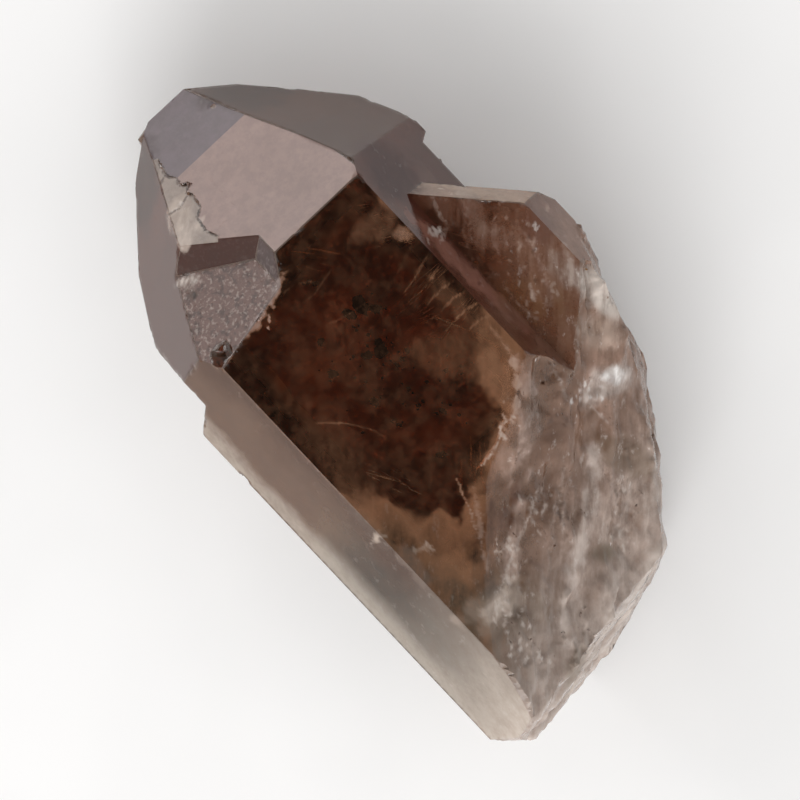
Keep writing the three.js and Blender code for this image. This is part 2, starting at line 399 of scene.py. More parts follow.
CRUMB_PATCHES: tuple[CrumbPatch, ...] = (
    CrumbPatch((-19.7, 6.8), (1.6, 3.4), 22, "d9cbc0", 0.55),
    CrumbPatch((-17.8, 1.7), (1.3, 2.2), 12, "d6c7bc", 0.5),
    CrumbPatch((-21.8, 10.6), (1.6, 1.6), 14, "dccfc5", 0.5),
    # painted glints beside the painted highlight at the lower right of the break
    CrumbPatch((-13.3, -9.4), (1.6, 1.2), 12, "f4eeea", 0.8),
    CrumbPatch((2.2, -13.8), (4.0, 2.6), 22, "bfa698", 0.5),
    CrumbPatch((-3.6, -12.2), (2.4, 2.2), 16, "c8b3a6", 0.5),
    CrumbPatch((1.2, -12.1), (4.0, 2.4), 16, "3a2218", 0.5),
    CrumbPatch((7.7, -9.4), (0.9, 0.9), 10, "d8ccc4", 0.7),
    CrumbPatch((-9.6, 14.1), (0.7, 0.5), 6, "b5a394", 0.4),
    CrumbPatch((-13.3, 11.4), (0.7, 0.5), 6, "b5a394", 0.4),
    CrumbPatch((-12.4, -5.3), (1.6, 2.4), 12, "4a3326", 0.5),
    CrumbPatch((-20.2, 0.6), (1.6, 2.4), 14, "4a3326", 0.5),
    CrumbPatch((-22.7, -4.9), (1.6, 3.0), 14, "55402f", 0.45),
    CrumbPatch((-29.6, 7.6), (2.0, 2.0), 10, "5c4a3a", 0.45),
    CrumbPatch((-24.3, -3.8), (1.6, 3.0), 12, "e0d4ca", 0.5),
    CrumbPatch((-10.1, -1.5), (0.6, 2.4), 10, "d6c4b8", 0.6),
    CrumbPatch((-26.3, 11.1), (3.0, 3.0), 16, "ddd2ca", 0.5),
    # painted glints along the painted highlight on the raised step's edge
    CrumbPatch((13.5, 6.1), (0.6, 2.6), 8, "cfc4c2", 0.6),
    CrumbPatch((-6.9, -16.5), (1.6, 1.6), 8, "dccfc6", 0.5),
)


def crumbs(seed: int) -> list[FineLine]:
    """Scatters short bright or dark crumbs over the patches.

    Args:
        seed: Which scatter to take.

    Returns:
        The crumbs.
    """
    rng = random.Random(seed)
    found = []
    for patch in CRUMB_PATCHES:
        x, y = patch.middle
        for _ in range(patch.count):
            # the patches are drawn out along the break's ridges
            run, side = rng.gauss(0, 0.55) * patch.spread[1], rng.gauss(0, 0.55) * patch.spread[0]
            px, py = x - 0.73 * run + 0.68 * side, y + 0.68 * run + 0.73 * side
            lean = math.radians(RIDGE_DEGREES) + rng.gauss(0, 0.5)
            half = rng.uniform(0.12, 0.42)
            ends = tuple((px + k * half * math.cos(lean), py + k * half * math.sin(lean)) for k in (-1, 1))
            width, strength = rng.uniform(0.12, 0.26), patch.strength * rng.uniform(0.6, 1.1)
            found.append(FineLine(ends, width, patch.color, strength, 0.5))
    return found


ALL_LINES: tuple[FineLine, ...] = (*FINE_LINES, *crumbs(71))

STAINS: tuple[Stain, ...] = (
    # clouds and veils under the top face
    Stain(-2.8, -4.0, 7.0, 3.6, 40, "957455", 0.16, 0.25),
    Stain(-0.5, 11.2, 8.0, 3.0, -5, "8f6a5f", 0.12, 0.3),
    Stain(12.0, -6.2, 4.2, 1.8, 75, "a8978e", 0.16, 0.5),
    Stain(9.4, -7.3, 1.3, 0.9, 40, "c4b3a8", 0.3, 0.5),
    Stain(2.6, -6.2, 4.6, 1.2, 4, "a58a79", 0.14, 0.4),
    Stain(5.5, 5.0, 6.0, 4.0, 20, "6d503c", 0.10, 0.4),
    Stain(-9.0, 5.0, 4.5, 3.0, 60, "80583f", 0.10, 0.4),
    Stain(-6.2, -4.6, 3.6, 1.6, 140, "94705a", 0.34, 0.6),
    Stain(-10.8, -0.4, 3.2, 1.5, 118, "94705a", 0.34, 0.7),
    Stain(-14.0, 5.6, 3.0, 1.4, 137, "8a6650", 0.30, 0.7),
    # the strip beside the top face
    Stain(14.8, -10.3, 5.4, 2.6, -6, "3a120c", 0.94, 0.2),
    Stain(3.0, -9.2, 9.0, 0.9, 3, "97695b", 0.8, 0.3),
    Stain(9.2, -11.8, 3.6, 1.6, -14, "8a6e62", 0.45, 0.4),
    Stain(7.2, -13.6, 3.4, 1.2, -20, "a39286", 0.55, 0.4),
    # the tip's flanks
    Stain(30.6, -5.6, 5.6, 2.2, 46, "2c1c15", 0.72, 0.35),
    Stain(30.8, 7.4, 5.8, 2.0, 132, "2c1c15", 0.72, 0.35),
    # the side crystal
    Stain(1.6, -17.0, 2.6, 1.8, 15, "5e3b34", 0.5, 0.4),
    Stain(-3.6, -12.2, 4.6, 2.2, 30, "80592f", 0.25, 0.7),
    Stain(3.8, -13.2, 2.4, 1.5, 30, "9a7a6c", 0.4, 0.6),
    Stain(7.0, -13.6, 2.6, 1.6, 60, "6b4438", 0.4, 0.6),
    Stain(-2.9, -13.6, 2.8, 1.8, 110, "92705f", 0.45, 0.7),
    Stain(-2.4, -9.0, 2.6, 1.3, 20, "7d5c4b", 0.4, 0.7),
    Stain(-7.4, -17.2, 6.2, 1.8, 12, "e2d6cc", 0.92, 0.3),
    Stain(-9.6, -14.4, 3.0, 1.6, 40, "bba596", 0.65, 0.4),
    # a painted highlight: a pale halo and a near-white spot where the surface catches the light
    Stain(-14.2, -12.3, 3.2, 1.9, 70, "d8cac1", 0.8, 0.5),
    Stain(-13.8, -12.7, 1.3, 0.9, 60, "fbf7f4", 0.97, 0.4),
    # dark olive hollows in the break
    Stain(-31.6, 8.8, 2.6, 1.4, 120, "70624f", 0.5, 0.5),
    Stain(-25.4, -0.4, 1.7, 1.3, 30, "6c5f4c", 0.75, 0.5),
    Stain(-20.4, -8.2, 3.4, 2.0, 20, "78634f", 0.6, 0.7),
    Stain(-13.4, -5.0, 2.2, 1.2, 130, "6c5040", 0.6, 0.7),
    Stain(-17.2, 1.0, 3.4, 1.4, 130, "6e503e", 0.6, 0.7),
    *seam(((-6.4, -7.0), (-9.6, -5.2), (-14.4, -0.1), (-22.3, 9.7)), 0.9, "c6aea2", 0.42, 0.8),
    *seam(((-17.4, -6.8), (-22.4, -1.3), (-24.5, 2.9), (-29.0, 8.3)), 1.0, "d2c2b8", 0.7, 0.6),
    *seam(((-20.4, 8.9), (-23.0, 8.6)), 1.6, "cbb9ab", 0.4, 0.9),
    # the flake beside the large end face, and its dark branching crack
    Stain(26.2, 6.6, 2.4, 1.3, 118, "b5a598", 0.6, 0.4),
    Stain(23.6, 7.4, 2.0, 0.9, 100, "c3b4a8", 0.6, 0.6),
    *seam(((31.2, 4.9), (29.5, 5.3), (28.7, 4.8), (27.9, 5.0), (27.4, 4.2)), 0.24, "241813", 0.85, 0.5),
    *seam(
        ((27.4, 4.2), (26.9, 5.0), (26.3, 4.7), (24.8, 5.0), (24.3, 5.9), (22.7, 6.1), (21.6, 5.7)),
        0.2, "241813", 0.85, 0.5,
    ),
    *seam(((26.7, 4.9), (26.2, 6.4), (26.6, 8.0)), 0.14, "3a2a22", 0.7, 0.3),
    *seam(((29.6, 5.4), (29.2, 7.0)), 0.18, "3a2a22", 0.7, 0.4),
    # patches of haze and dark stone that cross the worn edge of the top face
    Stain(-12.8, 0.8, 2.4, 1.2, 137, "bb9e8f", 0.45, 0.9),
    Stain(-15.8, 3.6, 2.6, 1.5, 120, "5e3c2b", 0.75, 0.8),
    Stain(-13.6, 9.8, 3.4, 2.2, 20, "301e13", 0.6, 0.6),
    Stain(-16.6, 6.8, 2.2, 1.7, 120, "38241a", 0.55, 0.7),
    Stain(-9.5, 12.2, 3.5, 1.4, -5, "2e1d12", 0.5, 0.6),
    Stain(-17.8, 12.2, 3.0, 1.5, 0, "5f4f42", 0.4, 0.8),
    Stain(-21.0, 11.8, 2.4, 1.9, 30, "9f8d7f", 0.5, 0.9),
    Stain(-13.4, 13.4, 3.6, 0.9, 0, "77655a", 0.5, 0.6),
    Stain(-8.0, 14.0, 4.0, 0.8, 0, "5a473b", 0.4, 0.6),
    Stain(-18.4, 5.4, 2.0, 1.0, 137, "c9b3a5", 0.55, 0.9),
    Stain(-18.8, 9.4, 2.2, 1.3, 120, "6f5442", 0.6, 0.9),
    Stain(-21.8, 10.6, 2.0, 1.2, 110, "cdbdb0", 0.6, 0.9),
    Stain(-15.4, 6.2, 3.6, 2.3, 125, "3a271b", 0.45, 0.7),
    Stain(-19.0, 9.0, 2.8, 1.7, 120, "46352a", 0.35, 0.8),
    # a pale chip and a dark one on the edge of the etched floor
    Stain(20.5, 10.9, 1.2, 0.7, 60, "cfc4bb", 0.8, 0.7),
    Stain(19.2, 11.2, 0.8, 0.6, 10, "2a1c16", 0.9, 0.5),
    *(stain for line in ALL_LINES for stain in line.stains()),
)


def stain_grid(cell_mm: float) -> dict[tuple[int, int], list[Stain]]:
    """Sorts the stains by the squares of a grid that they reach, to find them quickly.

    Args:
        cell_mm: The size of a square.

    Returns:
        The stains of each square, in their own order.
    """
    grid: dict[tuple[int, int], list[Stain]] = {}
    for stain in STAINS:
        columns, rows = (
            range(math.floor((at - stain.reach) / cell_mm), math.floor((at + stain.reach) / cell_mm) + 1)
            for at in (stain.x, stain.y)
        )
        for square in product(columns, rows):
            grid.setdefault(square, []).append(stain)
    return grid


STAIN_CELL_MM = 2.0
STAIN_GRID = stain_grid(STAIN_CELL_MM)


@dataclass(frozen=True)
class Haze:
    """The milky haze that thickens away from the dark zone and towards the base."""

    near: str = "65432f"
    middle: str = "a08170"
    far: str = "c8bab0"
    olive: str = "9d8c75"
    margin: str = "3d2c1f"
    rim: str = "bbb0a3"
    shade: str = "44260f"

    @staticmethod
    def over(tone: Vector, thick: float, color: str, share: float) -> tuple[Vector, float]:
        """Lays one more haze over another.

        Args:
            tone: The colour of the haze below, in linear light.
            thick: The thickness of the haze below.
            color: The colour of the haze on top, as six hex digits.
            share: Its thickness, from 0 to 1.

        Returns:
            The colour and thickness of both together.
        """
        total = 1 - (1 - thick) * (1 - share)
        if total < 0.001:
            return tone, thick
        return (tone * thick * (1 - share) + Vector(linear(color)) * share) / total, total

    def body(self, q: Vector, drift: float, base: float) -> tuple[Vector, float]:
        """The haze that fills the stone round the dark zone.

        Args:
            q: The point, in millimetres.
            drift: How far the clouds stray there, in millimetres.
            base: How much it belongs to the milky base, from 0 to 1.

        Returns:
            The colour in linear light, and the thickness from 0 to 1.
        """
        away = core_distance(q.x, q.y) + drift
        tone = Vector(linear(self.near)).lerp(Vector(linear(self.middle)), smooth(1, 10, away))
        leaning = smooth(5.0, 9.0, q.y - 0.35 * (q.x + 20)) * (1 - base)
        tone = tone.lerp(Vector(linear(self.olive)), 0.75 * leaning).lerp(Vector(linear(self.far)), base)
        thick = 0.8 * smooth(-3.6, 7.5, away) * smooth(5, -7, q.x + 0.3 * q.y)
        return tone, max(thick, 0.9 * base)

    def at(self, p: Vector, facing: Vector) -> tuple[Vector, float]:
        """The haze's colour and thickness at a point.

        Args:
            p: The point, in metres.
            facing: The direction that the surface looks in.

        Returns:
            The colour in linear light, and the thickness from 0 to 1.
        """
        q = p / MM
        drift = 1.6 * fractal(p, 5)
        base = smooth(-17, -33, q.x + 0.25 * (q.y - 5) + drift)
        tone, thick = self.body(q, drift, base)
        # surfaces that look down are clearer
        thick *= 1 - 0.5 * smooth(0.3, -0.1, facing.z)
        # a dark margin along the rear left edge of the top face
        edge = smooth(7.0, 12.4, q.y - 0.3 * (q.x + 16) + drift) * smooth(-3, -12, q.x + drift)
        tone, thick = self.over(tone, thick, self.margin, 0.8 * edge * (1 - base))
        tone *= 1 - 0.42 * smooth(0.5, 0.85, facing.y) * (1 - 1.5 * base)
        if facing.y > 0.8 and facing.z > 0.3:
            # the long strip on the left: brown under the top face, pale below and towards the base
            high = 0.85 * smooth(24.0, 28.8, q.z + drift) * (1 - base)
            tone, thick = self.over(tone, thick, self.shade, high)
            pale = max(0.6 * smooth(22.6, 19.4, q.z + 0.5 * drift), 0.5 * smooth(-13, -29, q.x + drift))
            tone, thick = self.over(tone, thick, self.rim, pale)
        if facing.z > 0.05:
            square = (math.floor(q.x / STAIN_CELL_MM), math.floor(q.y / STAIN_CELL_MM))
            for stain in STAIN_GRID.get(square, ()):
                share = stain.at(q) * smooth(0.05, 0.3, facing.z)
                if share > 0.004:
                    tone, thick = self.over(tone, thick, stain.color, share)
        return tone, thick


class ShaderGraph:
    """A material's nodes, with short calls for the ones used here."""

    def __init__(self, name: str) -> None:
        """Starts a material with one glass-ready surface shader.

        Args:
            name: The material's name.
        """
        self.material = bpy.data.materials.new(name)
        self.material.use_nodes = True
        self.tree = self.material.node_tree
        self.tree.nodes.clear()
        self.output = self.tree.nodes.new("ShaderNodeOutputMaterial")
        self.surface = self.tree.nodes.new("ShaderNodeBsdfPrincipled")
        self.link(self.surface.outputs[0], self.output.inputs["Surface"])

    def link(self, source: bpy.types.NodeSocket, target: bpy.types.NodeSocket) -> None:
        """Joins two sockets."""
        self.tree.links.new(source, target)

    def put(self, target: bpy.types.NodeSocket, value: object) -> None:
        """Sets an input from a number, a colour or another node's output.

        Args:
            target: The input.
            value: What it is set to.
        """
        if isinstance(value, bpy.types.NodeSocket):
            self.link(value, target)
        elif isinstance(value, (tuple, list)) and target.type == "RGBA" and len(value) == 3:
            target.default_value = (*value, 1.0)
        else:
            target.default_value = value

    def set(self, **values: object) -> None:
        """Sets inputs of the surface shader, with _ for a space in each name.

        Args:
            values: What each input is set to.
        """
        for name, value in values.items():
            self.put(self.surface.inputs[name.replace("_", " ")], value)

    def absorb(self, color: Color, density: float) -> None:
        """Makes the inside soak up light.

        Args:
            color: The colour that light takes on inside.
            density: How strongly, for each metre.
        """
        volume = self.tree.nodes.new("ShaderNodeVolumeAbsorption")
        volume.inputs["Color"].default_value = (*color, 1.0)
        volume.inputs["Density"].default_value = density
        self.link(volume.outputs[0], self.output.inputs["Volume"])

    def attribute(self, name: str, output: str = "Fac") -> bpy.types.NodeSocket:
        """A value stored on the mesh.

        Args:
            name: The name that it is stored by.
            output: Fac for a number, Color for a colour.

        Returns:
            The value.
        """
        node = self.tree.nodes.new("ShaderNodeAttribute")
        node.attribute_name = name
        return node.outputs[output]

    def place(self, stretch: Sequence[float] = (1, 1, 1), turn_degrees: float = 0) -> bpy.types.NodeSocket:
        """Object coordinates that draw a pattern out along turned axes.

        Args:
            stretch: How many times the pattern is drawn out along each axis.
            turn_degrees: How far the axes are turned about +Z.

        Returns:
            The coordinates.
        """
        source = self.tree.nodes.new("ShaderNodeTexCoord")
        mapping = self.tree.nodes.new("ShaderNodeMapping")
        mapping.vector_type = "TEXTURE"
        mapping.inputs["Scale"].default_value = stretch
        mapping.inputs["Rotation"].default_value = (0, 0, math.radians(turn_degrees))
        self.link(source.outputs["Object"], mapping.inputs["Vector"])
        return mapping.outputs[0]

    def grain(
        self,
        size_mm: float,
        detail: float = 3.0,
        rough: float = 0.55,
        where: bpy.types.NodeSocket | None = None,
    ) -> bpy.types.NodeSocket:
        """Noise from 0 to 1 with lumps of about the given size.

        Args:
            size_mm: The size of the lumps.
            detail: How many finer layers it has.
            rough: How strong the finer layers are, from 0 to 1.
            where: The coordinates, or none for the plain ones.

        Returns:
            The noise.
        """
        node = self.tree.nodes.new("ShaderNodeTexNoise")
        node.inputs["Scale"].default_value = 1 / (size_mm * MM)
        node.inputs["Detail"].default_value = detail
        node.inputs["Roughness"].default_value = rough
        self.link(where or self.place(), node.inputs["Vector"])
        return node.outputs["Fac"]

    def cells(self, size_mm: float) -> bpy.types.NodeSocket:
        """Distance to the nearest of many scattered points, from 0.

        Args:
            size_mm: How far apart the points are.

        Returns:
            The distance, in units of that size.
        """
        node = self.tree.nodes.new("ShaderNodeTexVoronoi")
        node.inputs["Scale"].default_value = 1 / (size_mm * MM)
        self.link(self.place(), node.inputs["Vector"])
        return node.outputs["Distance"]

    def math(self, kind: str, a: object, b: object = 0.0, clamp: bool = False) -> bpy.types.NodeSocket:
        """One sum on numbers, such as ADD or MULTIPLY.

        Args:
            kind: Which sum.
            a: The first number.
            b: The second number.
            clamp: Whether the result is held between 0 and 1.

        Returns:
            The result.
        """
        node = self.tree.nodes.new("ShaderNodeMath")
        node.operation = kind
        node.use_clamp = clamp
        self.put(node.inputs[0], a)
        self.put(node.inputs[1], b)
        return node.outputs[0]

    def span(
        self, value: object, low: float, high: float, to_low: float = 0.0, to_high: float = 1.0
    ) -> bpy.types.NodeSocket:
        """A value stretched smoothly from one range to another, and held inside it.

        Args:
            value: The value.
            low: Where the first range starts.
            high: Where it ends.
            to_low: Where the second range starts.
            to_high: Where it ends.

        Returns:
            The stretched value.
        """
        node = self.tree.nodes.new("ShaderNodeMapRange")
        node.interpolation_type = "SMOOTHSTEP"
        self.put(node.inputs["Value"], value)
        for name, number in (("From Min", low), ("From Max", high), ("To Min", to_low), ("To Max", to_high)):
            self.put(node.inputs[name], number)
        return node.outputs[0]

    def mix(self, share: object, a: object, b: object) -> bpy.types.NodeSocket:
        """A colour between two others.

        Args:
            share: How much of the second colour there is, from 0 to 1.
            a: The first colour.
            b: The second colour.

        Returns:
            The mixed colour.
        """
        node = self.tree.nodes.new("ShaderNodeMix")
        node.data_type = "RGBA"
        self.put(node.inputs[0], share)
        self.put(node.inputs[6], a)
        self.put(node.inputs[7], b)
        return node.outputs[2]

    def bump(self, height: object, depth_mm: float, strength: float = 1.0) -> bpy.types.NodeSocket:
        """A bumped normal from a height of 0 to 1.

        Args:
            height: The height.
            depth_mm: How deep a height of 1 is.
            strength: How much of the bump is used, from 0 to 1.

        Returns:
            The normal.
        """
        node = self.tree.nodes.new("ShaderNodeBump")
        node.inputs["Strength"].default_value = strength
        node.inputs["Distance"].default_value = depth_mm * MM
        self.put(node.inputs["Height"], height)
        return node.outputs[0]


@dataclass(frozen=True)
class CrystalFinish:
    """The outside of the crystal: glassy faces with haze, etch marks and a milky base."""

    tint_name: str = "region_tint"
    clear_name: str = "region_clear"
    rough_name: str = "region_rough"
    etch_name: str = "region_etch"
    tone_name: str = "haze_tone"
    haze_name: str = "haze"
    ridge_degrees: float = -43.3
    smoke: Color = (0.66, 0.46, 0.32)
    smoke_density: float = 22.0

    def stone(
        self, g: ShaderGraph, etch: bpy.types.NodeSocket, fine: bpy.types.NodeSocket
    ) -> bpy.types.NodeSocket:
        """The colour of the stone itself, mottled, with dark and light etch marks.

        Args:
            g: The material's nodes.
            etch: How deep the etch marks are.
            fine: Fine noise.

        Returns:
            The colour.
        """
        tint = g.attribute(self.tint_name, "Color")
        mottled = g.mix(g.span(g.grain(4.5, 3), 0.3, 0.7, 0.0, 0.12), tint, linear("4a3022"))
        mottled = g.mix(g.span(g.grain(1.3, 6, 0.72), 0.38, 0.62, 0.0, 0.14), mottled, linear("2e201a"))
        dark_marks = g.span(g.grain(0.9, 4, 0.65), 0.48, 0.62)
        dark_marks = g.math("MULTIPLY", dark_marks, g.math("MULTIPLY", etch, 0.6))
        mottled = g.mix(dark_marks, mottled, linear("2c1f1a"))
        light_marks = g.math("MULTIPLY", g.span(fine, 0.5, 0.68), g.math("MULTIPLY", etch, 0.42))
        return g.mix(light_marks, mottled, linear("cbbdb5"))

    def milk(
        self, g: ShaderGraph, crumbly: bpy.types.NodeSocket, drift: bpy.types.NodeSocket
    ) -> bpy.types.NodeSocket:
        """The colour of the haze, with painted shade in the hollows, dark patches and painted bright glints
        on the break.

        Args:
            g: The material's nodes.
            crumbly: How broken the surface is.
            drift: Noise drawn out along the break's ridges.

        Returns:
            The colour.
        """
        tone = g.attribute(self.tone_name, "Color")
        # painted shade: darker streaks along the break's hollows, drawn from noise
        painted_hollow_shade = g.math("MULTIPLY", g.span(drift, 0.34, 0.6, 0.75, 0.0), crumbly)
        shade = g.mix(painted_hollow_shade, tone, linear("5c4132"))
        patches = g.grain(3.4, 5, 0.6, g.place((2.0, 1, 1), self.ridge_degrees + 18))
        patches = g.math("MULTIPLY", g.span(patches, 0.38, 0.58, 0.62, 0.0), crumbly)
        shade = g.mix(patches, shade, linear("4c3122"))
        # painted highlights: near-white glints scattered over the break
        painted_glint_noise = g.grain(0.9, 5, 0.7, g.place((1.7, 1, 1), self.ridge_degrees))
        painted_glints = g.math("MULTIPLY", g.span(painted_glint_noise, 0.57, 0.7, 0.0, 0.9), crumbly)
        return g.mix(painted_glints, shade, linear("f2eae4"))

    def relief(
        self, g: ShaderGraph, etch: bpy.types.NodeSocket, fine: bpy.types.NodeSocket
    ) -> bpy.types.NodeSocket:
        """The height of the growth lines, etch pits and fine wear.

        Args:
            g: The material's nodes.
            etch: How deep the etch marks are.
            fine: Fine noise.

        Returns:
            The height.
        """
        lines = g.grain(0.45, 3, 0.6, g.place((0.16, 2.9, 2.9)))
        pits = g.span(g.cells(0.55), 0.04, 0.3)
        height = g.math("MULTIPLY", g.math("MULTIPLY", pits, etch), 0.5)
        height = g.math("ADD", height, g.math("MULTIPLY", lines, 0.05))
        return g.math("ADD", height, g.math("MULTIPLY", g.math("MULTIPLY", fine, etch), 0.8))

    def make(self) -> bpy.types.Material:
        """Builds the material.

        Returns:
            The finished material.
        """
        g = ShaderGraph("smoky_quartz")
        haze = g.attribute(self.haze_name)
        etch = g.attribute(self.etch_name)
        drift = g.grain(1.0, 5, 0.6, g.place((4.5, 1, 1), self.ridge_degrees))
        fine = g.grain(0.42, 4, 0.6)
        crumbly = g.math("MULTIPLY", etch, 2.6, clamp=True)
        torn = g.math("ADD", g.span(drift, 0.3, 0.7, -0.2, 0.2), g.span(fine, 0.3, 0.7, -0.1, 0.1))
        torn = g.math("MULTIPLY", torn, g.math("ADD", 0.25, crumbly))
        haze_share = g.math("MULTIPLY", g.span(haze, 0.0, 0.3), g.math("ADD", haze, torn), clamp=True)
        g.set(Base_Color=g.mix(haze_share, self.stone(g, etch, fine), self.milk(g, crumbly, drift)))
        clear = g.attribute(self.clear_name)
        wisp = g.math("MULTIPLY", g.span(g.grain(1.5, 7, 0.74), 0.42, 0.64), 0.034)
        less = g.math("SUBTRACT", 1.0, g.math("MULTIPLY", haze_share, 0.72))
        g.set(Transmission_Weight=g.math("MULTIPLY", g.math("SUBTRACT", clear, wisp), less, clamp=True))
        rough = g.attribute(self.rough_name)
        worn = g.math("MULTIPLY", g.span(fine, 0.3, 0.75), g.math("MULTIPLY", etch, 0.22))
        g.set(Roughness=g.math("ADD", rough, worn, clamp=True), IOR=QUARTZ_IOR, Specular_IOR_Level=0.3)
        g.set(Normal=g.bump(self.relief(g, etch, fine), 0.09, 0.6))
        g.absorb(self.smoke, self.smoke_density)
        return g.material


@dataclass(frozen=True)
class CoreFinish:
    """The dark smoky zone sealed inside."""

    smoke: Color = (0.50, 0.24, 0.08)
    smoke_density: float = 35.0

    def make(self) -> bpy.types.Material:
        """Builds the material.

        Returns:
            The finished material.
        """
        g = ShaderGraph("smoky_zone")
        wisps = g.grain(7.0, 3, 0.5)
        g.set(Base_Color=g.mix(g.span(wisps, 0.35, 0.68), linear("c98a60"), linear("dcb59a")))
        g.set(Transmission_Weight=g.span(wisps, 0.4, 0.75, 0.985, 0.965), Roughness=0.0, IOR=1.0)
        g.absorb(self.smoke, self.smoke_density)
        return g.material


@dataclass(frozen=True)
class GrainFinish:
    """Small solid grains or flakes sealed inside.

    Attributes:
        name: The material's name.
        dark: Its darker colour.
        light: Its lighter colour.
        rough: How rough it is.
        clear: How see-through it is.
        ior: How much it bends light.
    """

    name: str
    dark: str
    light: str
    rough: float = 0.4
    clear: float = 0.0
    ior: float = 1.4

    def make(self) -> bpy.types.Material:
        """Builds the material.

        Returns:
            The finished material.
        """
        g = ShaderGraph(self.name)
        g.set(Base_Color=g.mix(g.span(g.grain(0.3, 3), 0.35, 0.65), linear(self.dark), linear(self.light)))
        g.set(Roughness=g.span(g.grain(0.12, 2), 0.3, 0.7, self.rough * 0.7, self.rough * 1.2))
        g.set(Transmission_Weight=self.clear, IOR=self.ior)
        return g.material


def store(mesh: bpy.types.Mesh, name: str, kind: str, domain: str, values: Sequence[float]) -> None:
    """Stores a value for every face or point of a mesh.

    Args:
        mesh: The mesh.
        name: The name that materials read it by.
        kind: FLOAT or FLOAT_COLOR.
        domain: FACE or POINT.
        values: The numbers, four for each colour.
    """
    mesh.attributes.new(name, kind, domain)
    column = "color" if kind == "FLOAT_COLOR" else "value"
    mesh.attributes[name].data.foreach_set(column, values)


